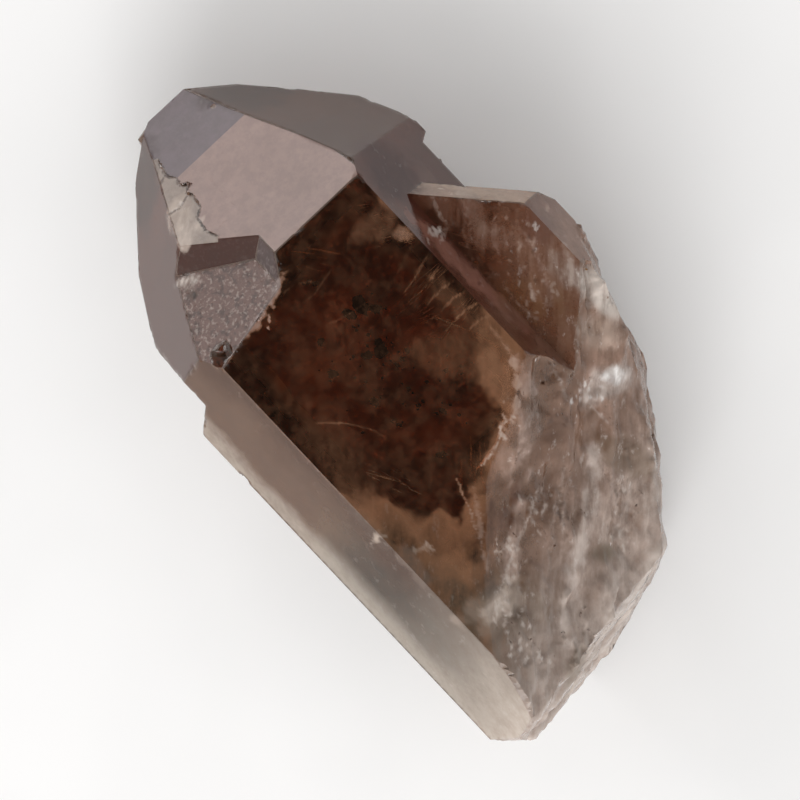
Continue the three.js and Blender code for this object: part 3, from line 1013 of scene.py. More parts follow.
@dataclass
class CrystalSkin:
    """The crystal's outside: crisp grown faces, worn edges and a rough broken base."""

    triangle_mm: float = 0.57
    hidden_triangle_mm: float = 1.3
    detail_triangle_mm: float = 0.2
    line_triangle_mm: float = 0.28
    edge_width_mm: float = 0.16
    least_face_mm2: float = 4.0
    least_edge_mm: float = 0.8
    least_edge_degrees: float = 12.0
    match_degrees: float = 0.9
    top_from_z_mm: float = 27.0
    side_end_before_x_mm: float = 12.0
    flake_x_mm: Place = (22.0, 32.0)
    flake_y_mm: Place = (2.4, 9.0)
    near_line_mm: float = 0.5
    border_mm: float = 2.6
    sharp_degrees: float = 17.0
    finish: CrystalFinish = field(default_factory=CrystalFinish)

    def region_of(self, face: bmesh.types.BMFace) -> Region:
        """Which kind of surface a flat face is.

        Args:
            face: The face, before it is split into small triangles.

        Returns:
            Its kind.
        """
        if face.calc_area() < self.least_face_mm2 * MM * MM:
            return Region.BROKEN
        middle = face.calc_center_median() / MM
        best, least = Region.UNDER, math.cos(math.radians(self.match_degrees))
        for region, direction in FACE_DIRECTIONS:
            match = face.normal.dot(Vector(direction).normalized())
            if match <= least or (region is Region.TOP and middle.z < self.top_from_z_mm):
                continue
            best, least = region, match
            if region is Region.TOP:
                break
        if best is Region.RIGHT_END and middle.x < self.side_end_before_x_mm:
            return Region.SIDE_END
        return best

    def relief(self, p: Vector) -> tuple[float, float]:
        """The broken surface at a point.

        Args:
            p: The point, in metres.

        Returns:
            How far it stands out, in metres, and how much of a crest it is, from -1 to 1.
        """
        run = p.dot(RIDGE_DIRECTION)
        across = p - RIDGE_DIRECTION * run
        stretched = across + RIDGE_DIRECTION * run * 0.22 + Vector((1, 1, 1)) * fractal(p, 6) * 0.6 * MM
        folds = 1 - 2 * abs(noise.noise(stretched / (4.2 * MM)))
        lines = 1 - 2 * abs(noise.noise(stretched / (1.5 * MM) + Vector((5, 2, 8))))
        crumbs = fractal(p, 1.6, 4)
        crest = 0.55 * (folds - 0.5) + 0.25 * (lines - 0.5) + 0.4 * crumbs
        return MM * (0.62 * folds + 0.2 * lines + 0.24 * crumbs - 0.36), crest

    def limit(self, edge: bmesh.types.BMEdge, lines: KDTree) -> float:
        """The most that an edge may measure.

        Args:
            edge: The edge.
            lines: Points along the fine lines, in millimetres, with no height.

        Returns:
            The length, in metres.
        """
        if max((f.normal.z for f in edge.link_faces), default=0.0) <= 0.1:
            return self.hidden_triangle_mm * MM
        middle = (edge.verts[0].co + edge.verts[1].co) / (2 * MM)
        (x_low, x_high), (y_low, y_high) = self.flake_x_mm, self.flake_y_mm
        if x_low < middle.x < x_high and y_low < middle.y < y_high:
            return self.detail_triangle_mm * MM
        if edge.calc_length() > self.line_triangle_mm * MM:
            if lines.find(Vector((middle.x, middle.y, 0)))[2] < self.near_line_mm:
                return self.line_triangle_mm * MM
        return self.triangle_mm * MM

    def split(self, mesh: bmesh.types.BMesh) -> None:
        """Splits long edges until every triangle is small.

        Args:
            mesh: The mesh that is split.
        """
        lines = nearest_of([place for line in ALL_LINES for place in line.places()])
        for _ in range(12):
            mesh.normal_update()
            long_edges = [edge for edge in mesh.edges if edge.calc_length() > self.limit(edge, lines)]
            if not long_edges:
                break
            bmesh.ops.subdivide_edges(mesh, edges=long_edges, cuts=1, use_grid_fill=False)
            many = [f for f in mesh.faces if len(f.verts) > 3]
            bmesh.ops.triangulate(mesh, faces=many, quad_method="SHORT_EDGE", ngon_method="BEAUTY")

    def blank(self) -> tuple[bmesh.types.BMesh, bmesh.types.BMLayerItem]:
        """Makes the crystal with flat faces and narrow worn edges.

        Returns:
            The mesh, and where each face's kind is kept.
        """
        work = bmesh.new()
        work.from_mesh(SOLID_MESH)
        bmesh.ops.remove_doubles(work, verts=work.verts, dist=2e-6)
        bmesh.ops.dissolve_limit(work, angle_limit=math.radians(0.4), verts=work.verts, edges=work.edges)
        work.normal_update()
        layer = work.faces.layers.int.new("kind")
        for face in work.faces:
            face[layer] = NUMBER[self.region_of(face)]
        sharp = []
        for edge in work.edges:
            if len(edge.link_faces) != 2 or edge.calc_face_angle(0) < math.radians(self.least_edge_degrees):
                continue
            around = {f[layer] for v in edge.verts for f in v.link_faces}
            if NUMBER[Region.BROKEN] not in around and edge.calc_length() > self.least_edge_mm * MM:
                sharp.append(edge)
        made = bmesh.ops.bevel(
            work, geom=sharp, offset=self.edge_width_mm * MM, offset_type="WIDTH", segments=1,
            profile=0.5, affect="EDGES", clamp_overlap=True, miter_outer="SHARP", miter_inner="SHARP",
        )
        for face in made["faces"]:
            face[layer] = NUMBER[Region.EDGE]
        bmesh.ops.triangulate(work, faces=work.faces, quad_method="BEAUTY", ngon_method="BEAUTY")
        return work, layer

    def spread(self, mesh: bmesh.types.BMesh, layer: bmesh.types.BMLayerItem) -> None:
        """Lets the break eat a little way into the top face, with a ragged border.

        Args:
            mesh: The finely split mesh.
            layer: Where each face's kind is kept.
        """
        broken, top = NUMBER[Region.BROKEN], NUMBER[Region.TOP]
        centers = [f.calc_center_median() for f in mesh.faces if f[layer] == broken]
        tree = nearest_of([center for center in centers if center.x < 0])
        for face in mesh.faces:
            middle = face.calc_center_median()
            if face[layer] != top or middle.x > 2 * MM:
                continue
            reach = 2.4 * max(0.0, fractal(middle, 3.2, 3) + 0.3) * MM
            if tree.find(middle)[2] < reach:
                face[layer] = broken

    def roughen(self, work: bmesh.types.BMesh, layer: bmesh.types.BMLayerItem, border: KDTree) -> None:
        """Gives the break its folds and nicks the worn edges, and notes how much of a crest each point is.

        Args:
            work: The finely split mesh.
            layer: Where each face's kind is kept.
            border: The middles of the top face's triangles.
        """
        moves = []
        crests = work.verts.layers.float.new("crest")
        for vert in work.verts:
            around = {f[layer] for f in vert.link_faces}
            if around == {NUMBER[Region.BROKEN]}:
                height, crest = self.relief(vert.co)
                away = smooth(0.2, self.border_mm, border.find(vert.co)[2] / MM)
                vert[crests] = crest * (0.3 + 0.7 * away)
                moves.append((vert, vert.co + vert.normal * height * away))
            elif NUMBER[Region.EDGE] in around:
                wear = max(0.0, fractal(vert.co, 1.1, 3) - 0.12) * 0.3 * MM
                moves.append((vert, vert.co - vert.normal * wear))
        for vert, place in moves:
            # nothing goes below the resting face
            place.z = max(place.z, 0.0)
            vert.co = place

    def shape(self) -> bpy.types.Mesh:
        """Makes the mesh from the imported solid.

        Returns:
            The finished mesh, in metres.
        """
        work, layer = self.blank()
        self.split(work)
        work.normal_update()
        self.spread(work, layer)
        top = NUMBER[Region.TOP]
        border = nearest_of([f.calc_center_median() for f in work.faces if f[layer] == top])
        self.roughen(work, layer, border)
        mesh = bpy.data.meshes.new(NODE + "_skin")
        looks = []
        for face in work.faces:
            kind = KINDS[face[layer]]
            away = 1.0
            if kind is Region.BROKEN:
                away = smooth(0.0, self.border_mm, border.find(face.calc_center_median())[2] / MM)
            looks.append((kind, away))
        work.to_mesh(mesh)
        work.free()
        self.paint(mesh, looks)
        return mesh

    def paint(self, mesh: bpy.types.Mesh, looks: list[tuple[Region, float]]) -> None:
        """Stores each face's look, and each point's haze with painted light and shade on the break's crests
        and troughs, on the mesh.

        Args:
            mesh: The finished mesh.
            looks: For each face its kind, and from 0 to 1 how little it takes after the top face.
        """
        finish = self.finish
        numbers = {}
        for region, look in LOOKS.items():
            numbers[region] = (*linear(look.tint), look.clear, look.rough, look.etch)
        top = numbers[Region.TOP]
        rows = [[t + (n - t) * away for t, n in zip(top, numbers[kind])] for kind, away in looks]
        for face, row, (kind, _) in zip(mesh.polygons, rows, looks):
            if kind is Region.BROKEN:
                row[5] *= 1 - 0.6 * smooth(-20, -29, face.center.x / MM)
        store(mesh, finish.tint_name, "FLOAT_COLOR", "FACE", [c for row in rows for c in (*row[:3], 1.0)])
        for name, column in ((finish.clear_name, 3), (finish.rough_name, 4), (finish.etch_name, 5)):
            store(mesh, name, "FLOAT", "FACE", [row[column] for row in rows])
        crests = [point.value for point in mesh.attributes["crest"].data]
        haze = Haze()
        tones: list[float] = []
        shares: list[float] = []
        for vert, crest in zip(mesh.vertices, crests):
            tone, thick = haze.at(vert.co, vert.normal)
            # painted light and shade: the break's crests are painted lighter and its troughs darker, and the
            # crests get thicker haze
            light = 1 + 0.3 * crest
            tones += [tone.x * light, tone.y * light, tone.z * light, 1.0]
            shares.append(min(1.0, max(0.0, thick + 0.32 * crest * min(1.0, 3 * thick))))
        store(mesh, finish.tone_name, "FLOAT_COLOR", "POINT", tones)
        store(mesh, finish.haze_name, "FLOAT", "POINT", shares)
        mesh.attributes.remove(mesh.attributes["crest"])

    def build(self) -> bpy.types.Object:
        """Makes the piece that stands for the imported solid.

        Returns:
            The crystal's outside.
        """
        mesh = self.shape()
        piece = bpy.data.objects.new("crystal_skin", mesh)
        bpy.context.scene.collection.objects.link(piece)
        mesh.materials.append(self.finish.make())
        mesh.polygons.foreach_set("use_smooth", [True] * len(mesh.polygons))
        mesh.set_sharp_from_angle(angle=math.radians(self.sharp_degrees))
        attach(piece, "root")
        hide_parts(NODE)
        return piece


# Each side of the sealed zone: its turn in degrees, its distance, and where its end face starts.
ZONE_SIDES: tuple[tuple[float, float, float], ...] = (
    (90, 14.1, 15.6),
    (30, 12.6, 13.0),
    (-30, 9.6, 16.0),
    (-90, 10.5, 13.0),
    (-150, 10.8, 15.5),
    (150, 14.9, 17.4),
)


@dataclass
class SmokyZone:
    """The dark zone sealed in the clearer stone, with the crystal's own angles."""

    axis_y_mm: float = 2.0
    axis_z_mm: float = 14.5
    back_x_mm: float = -22.0
    front_x_mm: float = 26.0
    rings: int = 90
    around: int = 96
    rounded_share: float = 0.18
    cover_mm: float = 0.4

    def held(self, axis: Vector, p: Vector) -> Vector:
        """Draws a point in towards the axis until it is well under the crystal's surface.

        Args:
            axis: The place on the axis beside it, in metres.
            p: The point, in metres.

        Returns:
            The point's final place.
        """
        if inside(p, self.cover_mm):
            return p
        low, high = 0.0, 1.0
        for _ in range(9):
            middle = (low + high) / 2
            low, high = (middle, high) if inside(axis.lerp(p, middle), self.cover_mm) else (low, middle)
        return axis.lerp(p, low)

    @classmethod
    def top_mm(cls) -> float:
        """The height of the zone's flat top."""
        return cls.axis_z_mm + ZONE_SIDES[0][1]

    def radius(self, x: float, angle: float) -> float:
        """How far the zone reaches from its axis, in millimetres.

        Args:
            x: The place along the axis, in millimetres.
            angle: The direction about the axis, in radians.

        Returns:
            The distance.
        """
        reach = 99.0
        for turn, out, end in ZONE_SIDES:
            facing = math.cos(angle - math.radians(turn))
            if facing < 0.05:
                continue
            side = min(out, out - math.tan(END_FACE_LEAN) * (x - end))
            reach = min(reach, max(side, 0.0) / facing)
        return reach

    def build(self) -> bpy.types.Object:
        """Makes the zone.

        Returns:
            The piece.
        """
        verts: list[Vector] = []
        for i in range(self.rings + 1):
            t = i / self.rings
            x = self.back_x_mm + (self.front_x_mm - self.back_x_mm) * t
            taper = math.sqrt(max(0.0, 1 - (1 - min(1.0, t / self.rounded_share)) ** 2.2))
            for k in range(self.around):
                angle = 2 * math.pi * k / self.around
                reach = self.radius(x, angle) * taper
                y = self.axis_y_mm + reach * math.cos(angle)
                z = self.axis_z_mm + reach * math.sin(angle)
                slant = -0.75 * (y - self.axis_y_mm) * (1 - t) ** 2
                p = mm(x + slant, y, z)
                swell = 0.5 * MM * fractal(p, 5) * (1 - smooth(0.5, 0.9, t))
                axis = mm(x + slant, self.axis_y_mm, self.axis_z_mm)
                swollen = p + (p - axis).normalized() * swell if reach > 0.6 else p
                verts.append(self.held(axis, swollen))
        n = self.around
        faces = [
            (i * n + k, i * n + (k + 1) % n, (i + 1) * n + (k + 1) % n, (i + 1) * n + k)
            for i in range(self.rings)
            for k in range(n)
        ]
        faces.append(tuple(reversed(range(n))))
        faces.append(tuple(range(self.rings * n, (self.rings + 1) * n)))
        return new_piece("smoky_zone", verts, faces, CoreFinish().make())


@dataclass(frozen=True)
class VeilFinish:
    """A thin hazy sheet sealed inside, thicker in some clouds than in others."""

    fade_name: str = "fade"

    def make(self) -> bpy.types.Material:
        """Builds the material.

        Returns:
            The finished material.
        """
        g = ShaderGraph("phantom_veil")
        here = g.attribute(self.fade_name)
        clouds = g.grain(4.5, 5, 0.6, g.place((1.6, 1, 1), 60))
        fine = g.grain(0.8, 5, 0.65, g.place((2.2, 1, 1), 100))
        both = g.math("ADD", g.math("MULTIPLY", clouds, 0.55), g.math("MULTIPLY", fine, 0.45))
        tint = g.mix(g.span(clouds, 0.35, 0.65), linear("a9704c"), linear("caa085"))
        g.set(Base_Color=g.mix(here, (1.0, 1.0, 1.0), tint))
        milk = g.math("MULTIPLY", here, g.span(both, 0.42, 0.6, 0.08, 0.26))
        g.set(Transmission_Weight=g.math("SUBTRACT", 1.0, milk), Roughness=0.3, IOR=1.0)
        return g.material


@dataclass
class Phantom:
    """The faint outline of a younger crystal, seen as a hazy sheet below the top face."""

    depth_mm: float = 4.2
    inset_mm: float = 1.1
    fade_mm: float = 2.4
    cell_mm: float = 0.55
    thickness_mm: float = 0.1

    def outside(self, x: float, y: float) -> float:
        """How far a place is outside the sheet's torn edge, in millimetres.

        Args:
            x: The place along the crystal, in millimetres.
            y: The place across it, in millimetres.

        Returns:
            The distance, under 0 on the sheet, which reaches on past the dark zone at the left rear.
        """
        torn = 1.2 * fractal(mm(x, y, 3), 4)
        return core_distance(x, y) - 3.2 * smooth(4, 9, y) * smooth(-1, -9, x) + torn + self.inset_mm

    def build(self) -> bpy.types.Object:
        """Makes the sheet.

        Returns:
            The piece.
        """
        number: dict[tuple[int, int], int] = {}
        verts: list[Vector] = []
        steps = range(-50, 50)
        for i in steps:
            for k in steps:
                x, y = i * self.cell_mm, k * self.cell_mm
                if self.outside(x, y) > 0:
                    continue
                wave = 0.7 * fractal(mm(x, y, 9), 7) + 0.15 * fractal(mm(x, y, 1), 1.5)
                z = SmokyZone.top_mm() - self.depth_mm + wave
                number[i, k] = len(verts)
                verts += [mm(x, y, z), mm(x, y, z - self.thickness_mm)]
        faces: list[tuple[int, ...]] = []
        used: dict[tuple[int, int], int] = {}
        for i, k in number:
            ring = [(i, k), (i + 1, k), (i + 1, k + 1), (i, k + 1)]
            if not all(place in number for place in ring):
                continue
            top = [number[place] for place in ring]
            faces += [tuple(top), tuple(v + 1 for v in reversed(top))]
            for a, b in zip(top, top[1:] + top[:1]):
                used[a, b] = 1
        for a, b in used:
            if (b, a) not in used:
                faces.append((b, a, a + 1, b + 1))
        finish = VeilFinish()
        piece = new_piece("phantom_veil", verts, faces, finish.make())
        places = [v.co / MM for v in piece.data.vertices]
        shares = [smooth(0, -self.fade_mm, self.outside(p.x, p.y)) for p in places]
        store(piece.data, finish.fade_name, "FLOAT", "POINT", shares)
        return piece


def new_piece(
    name: str,
    verts: Sequence[Vector],
    faces: Sequence[Sequence[int]],
    material: bpy.types.Material,
    smooth_faces: bool = True,
) -> bpy.types.Object:
    """Makes a sealed-in piece that rides with the crystal.

    Args:
        name: The piece's name.
        verts: Its points, in metres.
        faces: Its faces, as point numbers.
        material: Its finish.
        smooth_faces: Whether its faces shade smoothly.

    Returns:
        The new piece.
    """
    mesh = bpy.data.meshes.new(name)
    mesh.from_pydata([tuple(v) for v in verts], [], [tuple(f) for f in faces])
    clean = bmesh.new()
    clean.from_mesh(mesh)
    bmesh.ops.remove_doubles(clean, verts=clean.verts, dist=1e-7)
    bmesh.ops.delete(clean, geom=[v for v in clean.verts if not v.link_faces], context="VERTS")
    bmesh.ops.dissolve_degenerate(clean, edges=clean.edges, dist=1e-7)
    bmesh.ops.recalc_face_normals(clean, faces=clean.faces)
    clean.to_mesh(mesh)
    clean.free()
    mesh.polygons.foreach_set("use_smooth", [smooth_faces] * len(mesh.polygons))
    mesh.materials.append(material)
    piece = bpy.data.objects.new(name, mesh)
    bpy.context.scene.collection.objects.link(piece)
    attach(piece, "root")
    return piece


@dataclass(frozen=True)
class Cluster:
    """One patch of grains or flakes.

    Attributes:
        x: Middle along the crystal, in millimetres.
        y: Middle across it, in millimetres.
        depth: How deep its middle is under the surface, in millimetres.
        spread: How far the patch reaches along x, y and z, in millimetres.
        count: How many there are.
        size: Their usual size, in millimetres.
        lean: The direction they are drawn out in, in degrees from +X about +Z.
        stretch: How many times longer than wide they are.
    """

    x: float
    y: float
    depth: float
    spread: tuple[float, float, float]
    count: int
    size: float
    lean: float = 0.0
    stretch: float = 1.0


@dataclass
class Inclusions:
    """Many small grains or flakes sealed in the stone."""

    name: str
    finish: GrainFinish
    clusters: Sequence[Cluster]
    seed: int
    thickness: float = 1.0

    def grain(self, rng: random.Random, cluster: Cluster) -> tuple[list[Vector], list[tuple[int, ...]]]:
        """Makes one lumpy grain of a cluster.

        Args:
            rng: The source of chance.
            cluster: Where it belongs.

        Returns:
            Its points, in metres, and its faces.
        """
        place = Vector((cluster.x, cluster.y, surface_height(cluster.x, cluster.y) - cluster.depth))
        along = Matrix.Rotation(math.radians(cluster.lean), 3, "Z")
        offset = Vector([rng.gauss(0, 0.5) * s for s in cluster.spread])
        size = cluster.size * math.exp(rng.gauss(0, 0.45))
        sway = 0.35 if cluster.stretch < 8 else 0.09
        turn = Matrix.Rotation(rng.gauss(0, sway), 3, "Z") @ Matrix.Rotation(rng.uniform(-0.7, 0.7), 3, "X")
        points = []
        for ring, height in ((1, -0.5), (5, -0.25), (5, 0.25), (1, 0.5)):
            for k in range(ring):
                angle = 2 * math.pi * (k + 0.5 * (height > 0)) / ring
                out = 0.0 if ring == 1 else 0.5 * rng.uniform(0.6, 1.15)
                along_x, along_y = math.cos(angle) * out * cluster.stretch, math.sin(angle) * out
                p = Vector((along_x, along_y, height * self.thickness))
                points.append((place + along @ (offset + turn @ (p * size))) * MM)
        faces: list[tuple[int, ...]] = []
        for k in range(5):
            m = (k + 1) % 5
            faces += [(0, 1 + m, 1 + k), (1 + k, 1 + m, 6 + k), (1 + m, 6 + m, 6 + k), (6 + k, 6 + m, 11)]
        return points, faces

    def build(self) -> bpy.types.Object:
        """Makes all of them as one piece.

        Returns:
            The piece.
        """
        rng = random.Random(self.seed)
        verts: list[Vector] = []
        faces: list[tuple[int, ...]] = []
        for cluster in self.clusters:
            for _ in range(cluster.count):
                points, sides = self.grain(rng, cluster)
                if not all(inside(p, 0.08) for p in points):
                    continue
                start = len(verts)
                verts += points
                faces += [tuple(start + i for i in side) for side in sides]
        return new_piece(self.name, verts, faces, self.finish.make(), smooth_faces=False)


def surface_height(x: float, y: float) -> float:
    """The height of the crystal's upper surface.

    Args:
        x: The place along the crystal, in millimetres.
        y: The place across it, in millimetres.

    Returns:
        The height, in millimetres.
    """
    hit, _, _, _ = SOLID_TREE.ray_cast(mm(x, y, 60), Vector((0, 0, -1)))
    return hit.z / MM if hit else 15.0


def trail(
    points: Sequence[Place], depth: float, width: float, each: int, size: float, stretch: float
) -> list[Cluster]:
    """A row of patches along a crack, drawn out along it.

    Args:
        points: Where the crack goes, in millimetres.
        depth: How deep it is under the surface.
        width: How far its flakes stray from it.
        each: How many flakes each stretch has.
        size: The flakes' usual size.
        stretch: How many times longer than wide they are.

    Returns:
        The patches.
    """
    rows = []
    for (ax, ay), (bx, by) in zip(points, points[1:]):
        length = math.hypot(bx - ax, by - ay)
        lean = math.degrees(math.atan2(by - ay, bx - ax))
        steps = max(1, round(length / 1.2))
        for i in range(steps):
            t = (i + 0.5) / steps
            place = (ax + (bx - ax) * t, ay + (by - ay) * t)
            rows.append(Cluster(*place, depth, (width, width, width * 0.6), each, size, lean, stretch))
    return rows


def inside(p: Vector, margin_mm: float = 0.25) -> bool:
    """Whether a point is well inside the crystal.

    Args:
        p: The point, in metres.
        margin_mm: How deep it has to be.

    Returns:
        True where it is.
    """
    where, normal, _, distance = SOLID_TREE.find_nearest(p)
    return (p - where).dot(normal) < 0 and distance > margin_mm * MM


@dataclass
class Studio:
    """The pale floor, the soft lights and the camera."""

    look_at_mm: tuple[float, float, float] = (-1.50, 3.74, 20.0)
    view_width_mm: float = 76.5
    lens: float = 200.0
    sensor: float = 36.0
    image_up: tuple[float, float, float] = (0.728, -0.686, 0.0)
    floor_half_m: float = 3.0

    def floor(self) -> None:
        """Makes the floor that the crystal lies on."""
        h = self.floor_half_m
        mesh = bpy.data.meshes.new("floor")
        mesh.from_pydata([(-h, -h, 0), (h, -h, 0), (h, h, 0), (-h, h, 0)], [], [(0, 1, 2, 3)])
        g = ShaderGraph("floor_paper")
        cloudy = g.span(g.grain(30, 2), 0.4, 0.6)
        g.set(Base_Color=g.mix(cloudy, (0.90, 0.90, 0.90), (0.92, 0.92, 0.92)), Roughness=0.9)
        mesh.materials.append(g.material)
        piece = bpy.data.objects.new("floor", mesh)
        bpy.context.scene.collection.objects.link(piece)

    def softbox(
        self,
        name: str,
        direction: Sequence[float],
        distance: float,
        size: tuple[float, float],
        radiance: float,
        color: Color = (1, 1, 1),
    ) -> None:
        """Adds one soft rectangular light aimed at the crystal.

        Args:
            name: The light's name.
            direction: Where it stands, seen from the crystal.
            distance: How far away, in metres.
            size: Its width and height, in metres.
            radiance: How bright it looks, where white paper in plain light is about 1.
            color: Its colour.
        """
        light = bpy.data.lights.new(name, "AREA")
        light.shape = "RECTANGLE"
        light.size, light.size_y = size
        light.energy = radiance * math.pi * size[0] * size[1]
        light.color = color
        lamp = bpy.data.objects.new(name, light)
        towards = Vector(direction).normalized()
        lamp.location = mm(0, 0, 16) + towards * distance
        lamp.rotation_euler = (-towards).to_track_quat("-Z", "Y").to_euler()
        lamp.visible_camera = False
        bpy.context.scene.collection.objects.link(lamp)

    def ramp(
        self,
        tree: bpy.types.NodeTree,
        value: bpy.types.NodeSocket,
        low: float,
        high: float,
        at_low: float,
        at_high: float,
    ) -> bpy.types.NodeSocket:
        """Stretches a value smoothly from one range to another.

        Args:
            tree: The nodes that it is added to.
            value: The value.
            low: Where the first range starts.
            high: Where it ends.
            at_low: What the value becomes there at the start.
            at_high: What it becomes at the end.

        Returns:
            The stretched value.
        """
        node = tree.nodes.new("ShaderNodeMapRange")
        node.interpolation_type = "SMOOTHSTEP"
        for name, number in (("From Min", low), ("From Max", high), ("To Min", at_low), ("To Max", at_high)):
            node.inputs[name].default_value = number
        tree.links.new(value, node.inputs["Value"])
        return node.outputs[0]

    def surroundings(self) -> None:
        """Sets the soft light from all round, dim right overhead and a little dimmer on one side."""
        world = bpy.data.worlds.new("studio")
        bpy.context.scene.world = world
        world.use_nodes = True
        tree = world.node_tree
        tree.nodes.clear()
        out = tree.nodes.new("ShaderNodeOutputWorld")
        back = tree.nodes.new("ShaderNodeBackground")
        coords = tree.nodes.new("ShaderNodeTexCoord")
        split = tree.nodes.new("ShaderNodeSeparateXYZ")
        side = tree.nodes.new("ShaderNodeVectorMath")
        side.operation = "DOT_PRODUCT"
        side.inputs[1].default_value = (-0.7, 0.71, 0.0)
        tree.links.new(coords.outputs["Generated"], split.inputs[0])
        tree.links.new(coords.outputs["Generated"], side.inputs[0])
        overhead = self.ramp(tree, split.outputs["Z"], 0.86, 0.965, 1.0, 0.04)
        sideways = self.ramp(tree, side.outputs["Value"], -0.9, 0.8, 0.3, 1.25)
        both = tree.nodes.new("ShaderNodeMath")
        both.operation = "MULTIPLY"
        tree.links.new(overhead, both.inputs[0])
        tree.links.new(sideways, both.inputs[1])
        tree.links.new(both.outputs[0], back.inputs["Strength"])
        back.inputs["Color"].default_value = (1.0, 0.99, 0.98, 1.0)
        tree.links.new(back.outputs[0], out.inputs["Surface"])

    def camera(self) -> None:
        """Adds the camera, looking straight down with the tip to the upper left."""
        data = bpy.data.cameras.new("camera")
        data.lens = self.lens
        data.sensor_width = self.sensor
        data.clip_start = 0.01
        data.clip_end = 20
        camera = bpy.data.objects.new("camera", data)
        distance = self.view_width_mm * MM * self.lens / self.sensor
        target = mm(*self.look_at_mm)
        up = Vector(self.image_up).normalized()
        back = Vector((0, 0, 1))
        right = up.cross(back)
        turn = Matrix((right, up, back)).transposed().to_4x4()
        camera.matrix_world = Matrix.Translation(target + back * distance) @ turn
        bpy.context.scene.collection.objects.link(camera)
        bpy.context.scene.camera = camera

    def build(self) -> None:
        """Makes the floor, lights, surroundings and camera."""
        self.floor()
        self.surroundings()
        self.softbox("tip_softbox", (0.97, 0.02, 0.25), 0.5, (0.46, 0.26), 3.2, (1.0, 0.97, 0.96))
        self.softbox("key_softbox", (-0.55, 0.6, 0.58), 0.7, (0.5, 0.5), 3.4)
        self.camera()
        bpy.context.scene.view_settings.view_transform = "Standard"


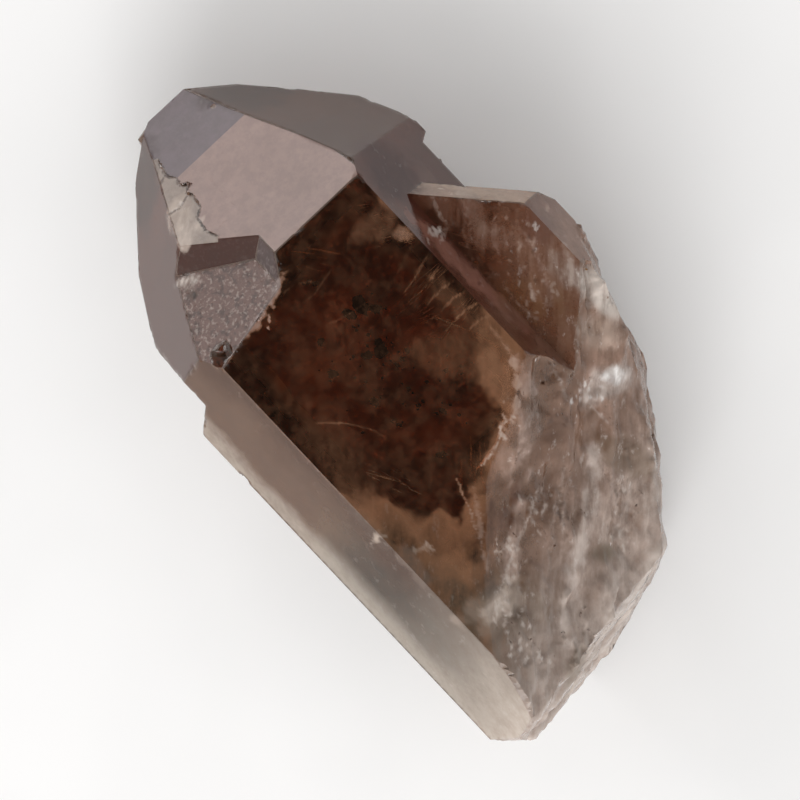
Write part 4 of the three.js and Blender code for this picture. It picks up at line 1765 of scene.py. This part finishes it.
def crystal_inclusions() -> list[Inclusions]:
    """The grains and flakes sealed in the stone.

    Returns:
        Each kind, ready to build.
    """
    dark = GrainFinish("dark_grains", "040302", "0c0806", 0.9, 0.0, 1.0)
    pale = GrainFinish("feather_flakes", "8d857f", "c4bdb8", 0.3, 0.6)
    # near-white flakes: white cracks, and at the lower right of the break a painted highlight
    bright = GrainFinish("bright_cracks", "d5d2d0", "fbfaf9", 0.25, 0.1)
    gold = GrainFinish("golden_flakes", "7e5530", "c08a50", 0.35, 0.25)
    # knots of specks: middle in millimetres, and how dense and large they are
    speck_knots = (
        (12.8, 2.5, 4), (11.8, 2.0, 3), (7.5, 1.5, 5), (7.7, 0.2, 8), (6.9, -0.1, 5), (6.4, 2.1, 4),
        (3.3, 1.9, 9), (3.9, 2.9, 7), (4.5, 6.7, 6), (7.2, 5.6, 3), (1.7, 0.3, 3), (-3.0, 2.4, 4),
        (-4.8, 2.3, 3), (-5.7, 0.7, 3), (-3.1, 5.5, 4), (-3.6, -2.2, 3), (1.1, 1.3, 3),
        (-1.4, 2.2, 3), (0.1, 5.9, 3), (-7.9, 4.4, 2), (-2.8, 5.6, 3),
    )
    specks = [
        Cluster(x, y, 0.65, (0.55, 0.55, 0.1), 1 + n // 2, 0.3 + 0.04 * n, 20, 1.3)
        for x, y, n in speck_knots
    ]
    specks += [
        Cluster(1.0, 2.2, 0.6, (9.0, 6.0, 0.2), 60, 0.2),
        Cluster(6.0, 13.2, 0.6, (6.0, 0.5, 0.2), 14, 0.26),
    ]
    feathers = [
        Cluster(4.8, -5.4, 0.6, (2.2, 1.0, 0.15), 40, 0.045, 90, 40),
        Cluster(0.4, -6.4, 0.55, (4.0, 0.8, 0.15), 60, 0.045, 96, 24),
        Cluster(13.6, 0.6, 0.6, (1.2, 1.8, 0.15), 14, 0.05, 35, 26),
        Cluster(12.2, -5.6, 0.6, (2.0, 2.6, 0.2), 26, 0.05, 60, 22),
        Cluster(9.2, -7.2, 0.5, (0.8, 0.7, 0.15), 40, 0.12, 20, 3),
        Cluster(2.4, -3.0, 0.6, (0.8, 1.6, 0.1), 20, 0.07, 75, 18),
        Cluster(-6.2, 9.6, 0.8, (3.0, 1.6, 0.2), 16, 0.07, 20, 20),
        Cluster(-11.0, 3.2, 0.6, (1.6, 1.6, 0.2), 22, 0.07, 140, 24),
    ]
    veil_edge = [(2.3, -3.8), (-0.8, -5.3), (-3.7, -6.2), (-6.1, -5.8), (-8.0, -3.5)]
    feathers += trail(veil_edge, 0.6, 0.3, 6, 0.08, 14)
    gilded = [
        Cluster(2.6, -14.2, 1.4, (4.0, 2.6, 0.8), 90, 0.32, 30, 2.2),
        Cluster(-2.5, -14.6, 1.4, (3.6, 2.6, 0.8), 80, 0.32, 40, 2.2),
        Cluster(-6.5, -13.4, 1.6, (3.0, 2.6, 0.8), 40, 0.3, 40, 2.2),
    ]
    wisps = [
        Cluster(4.5, -13.2, 0.9, (3.2, 1.8, 0.5), 50, 0.24, 40, 4),
        Cluster(-3.5, -13.5, 0.9, (3.2, 2.6, 0.6), 60, 0.26, 50, 3),
        Cluster(-12.0, -6.0, 1.0, (5.0, 4.0, 0.6), 110, 0.26, RIDGE_DEGREES, 4),
        Cluster(-20.0, 1.0, 1.0, (5.0, 6.0, 0.6), 120, 0.26, RIDGE_DEGREES, 4),
        Cluster(-27.0, 4.0, 1.0, (4.0, 7.0, 0.6), 80, 0.26, RIDGE_DEGREES, 4),
    ]
    wisps += trail([(-5.6, -6.2), (-7.6, -4.4), (-14.5, 2.0), (-21.0, 8.6)], 0.7, 0.35, 12, 0.3, 5)
    wisps += trail([(-17.6, -6.8), (-21.3, -3.2), (-23.4, 0.8)], 0.7, 0.4, 14, 0.32, 5)
    cracks_and_painted_highlight = trail([(-9.6, -1.9), (-10.6, 0.0), (-11.1, 2.4)], 0.5, 0.05, 12, 0.12, 9)
    cracks_and_painted_highlight += [
        # painted highlight: bright flakes round the near-white painted spot at the lower right of the break
        Cluster(-13.7, -12.9, 0.4, (1.4, 1.1, 0.3), 60, 0.42, RIDGE_DEGREES, 2.5),
        Cluster(-15.4, -11.2, 0.5, (2.6, 0.5, 0.3), 40, 0.3, 115, 5),
        Cluster(-7.0, -8.4, 0.5, (0.8, 0.6, 0.3), 12, 0.26, RIDGE_DEGREES, 3),
    ]
    return [
        Inclusions("dark_specks", dark, specks, 11, 0.5),
        Inclusions("feather_veils", pale, feathers, 23, 0.12),
        Inclusions("golden_flakes", gold, gilded, 37, 0.25),
        Inclusions("white_wisps", pale, wisps, 41, 0.15),
        Inclusions("bright_cracks", bright, cracks_and_painted_highlight, 53, 0.15),
    ]


def main() -> None:
    """Builds every piece in order and reports it."""
    logging.basicConfig(level=logging.INFO, format="%(name)s: %(message)s")
    parts = (CrystalSkin(), SmokyZone(), Phantom(), *crystal_inclusions())
    for part in parts:
        piece = part.build()
        LOG.info("%s: %d faces", piece.name, len(piece.data.polygons))
    Studio().build()


if __name__ == "__main__":
    main()
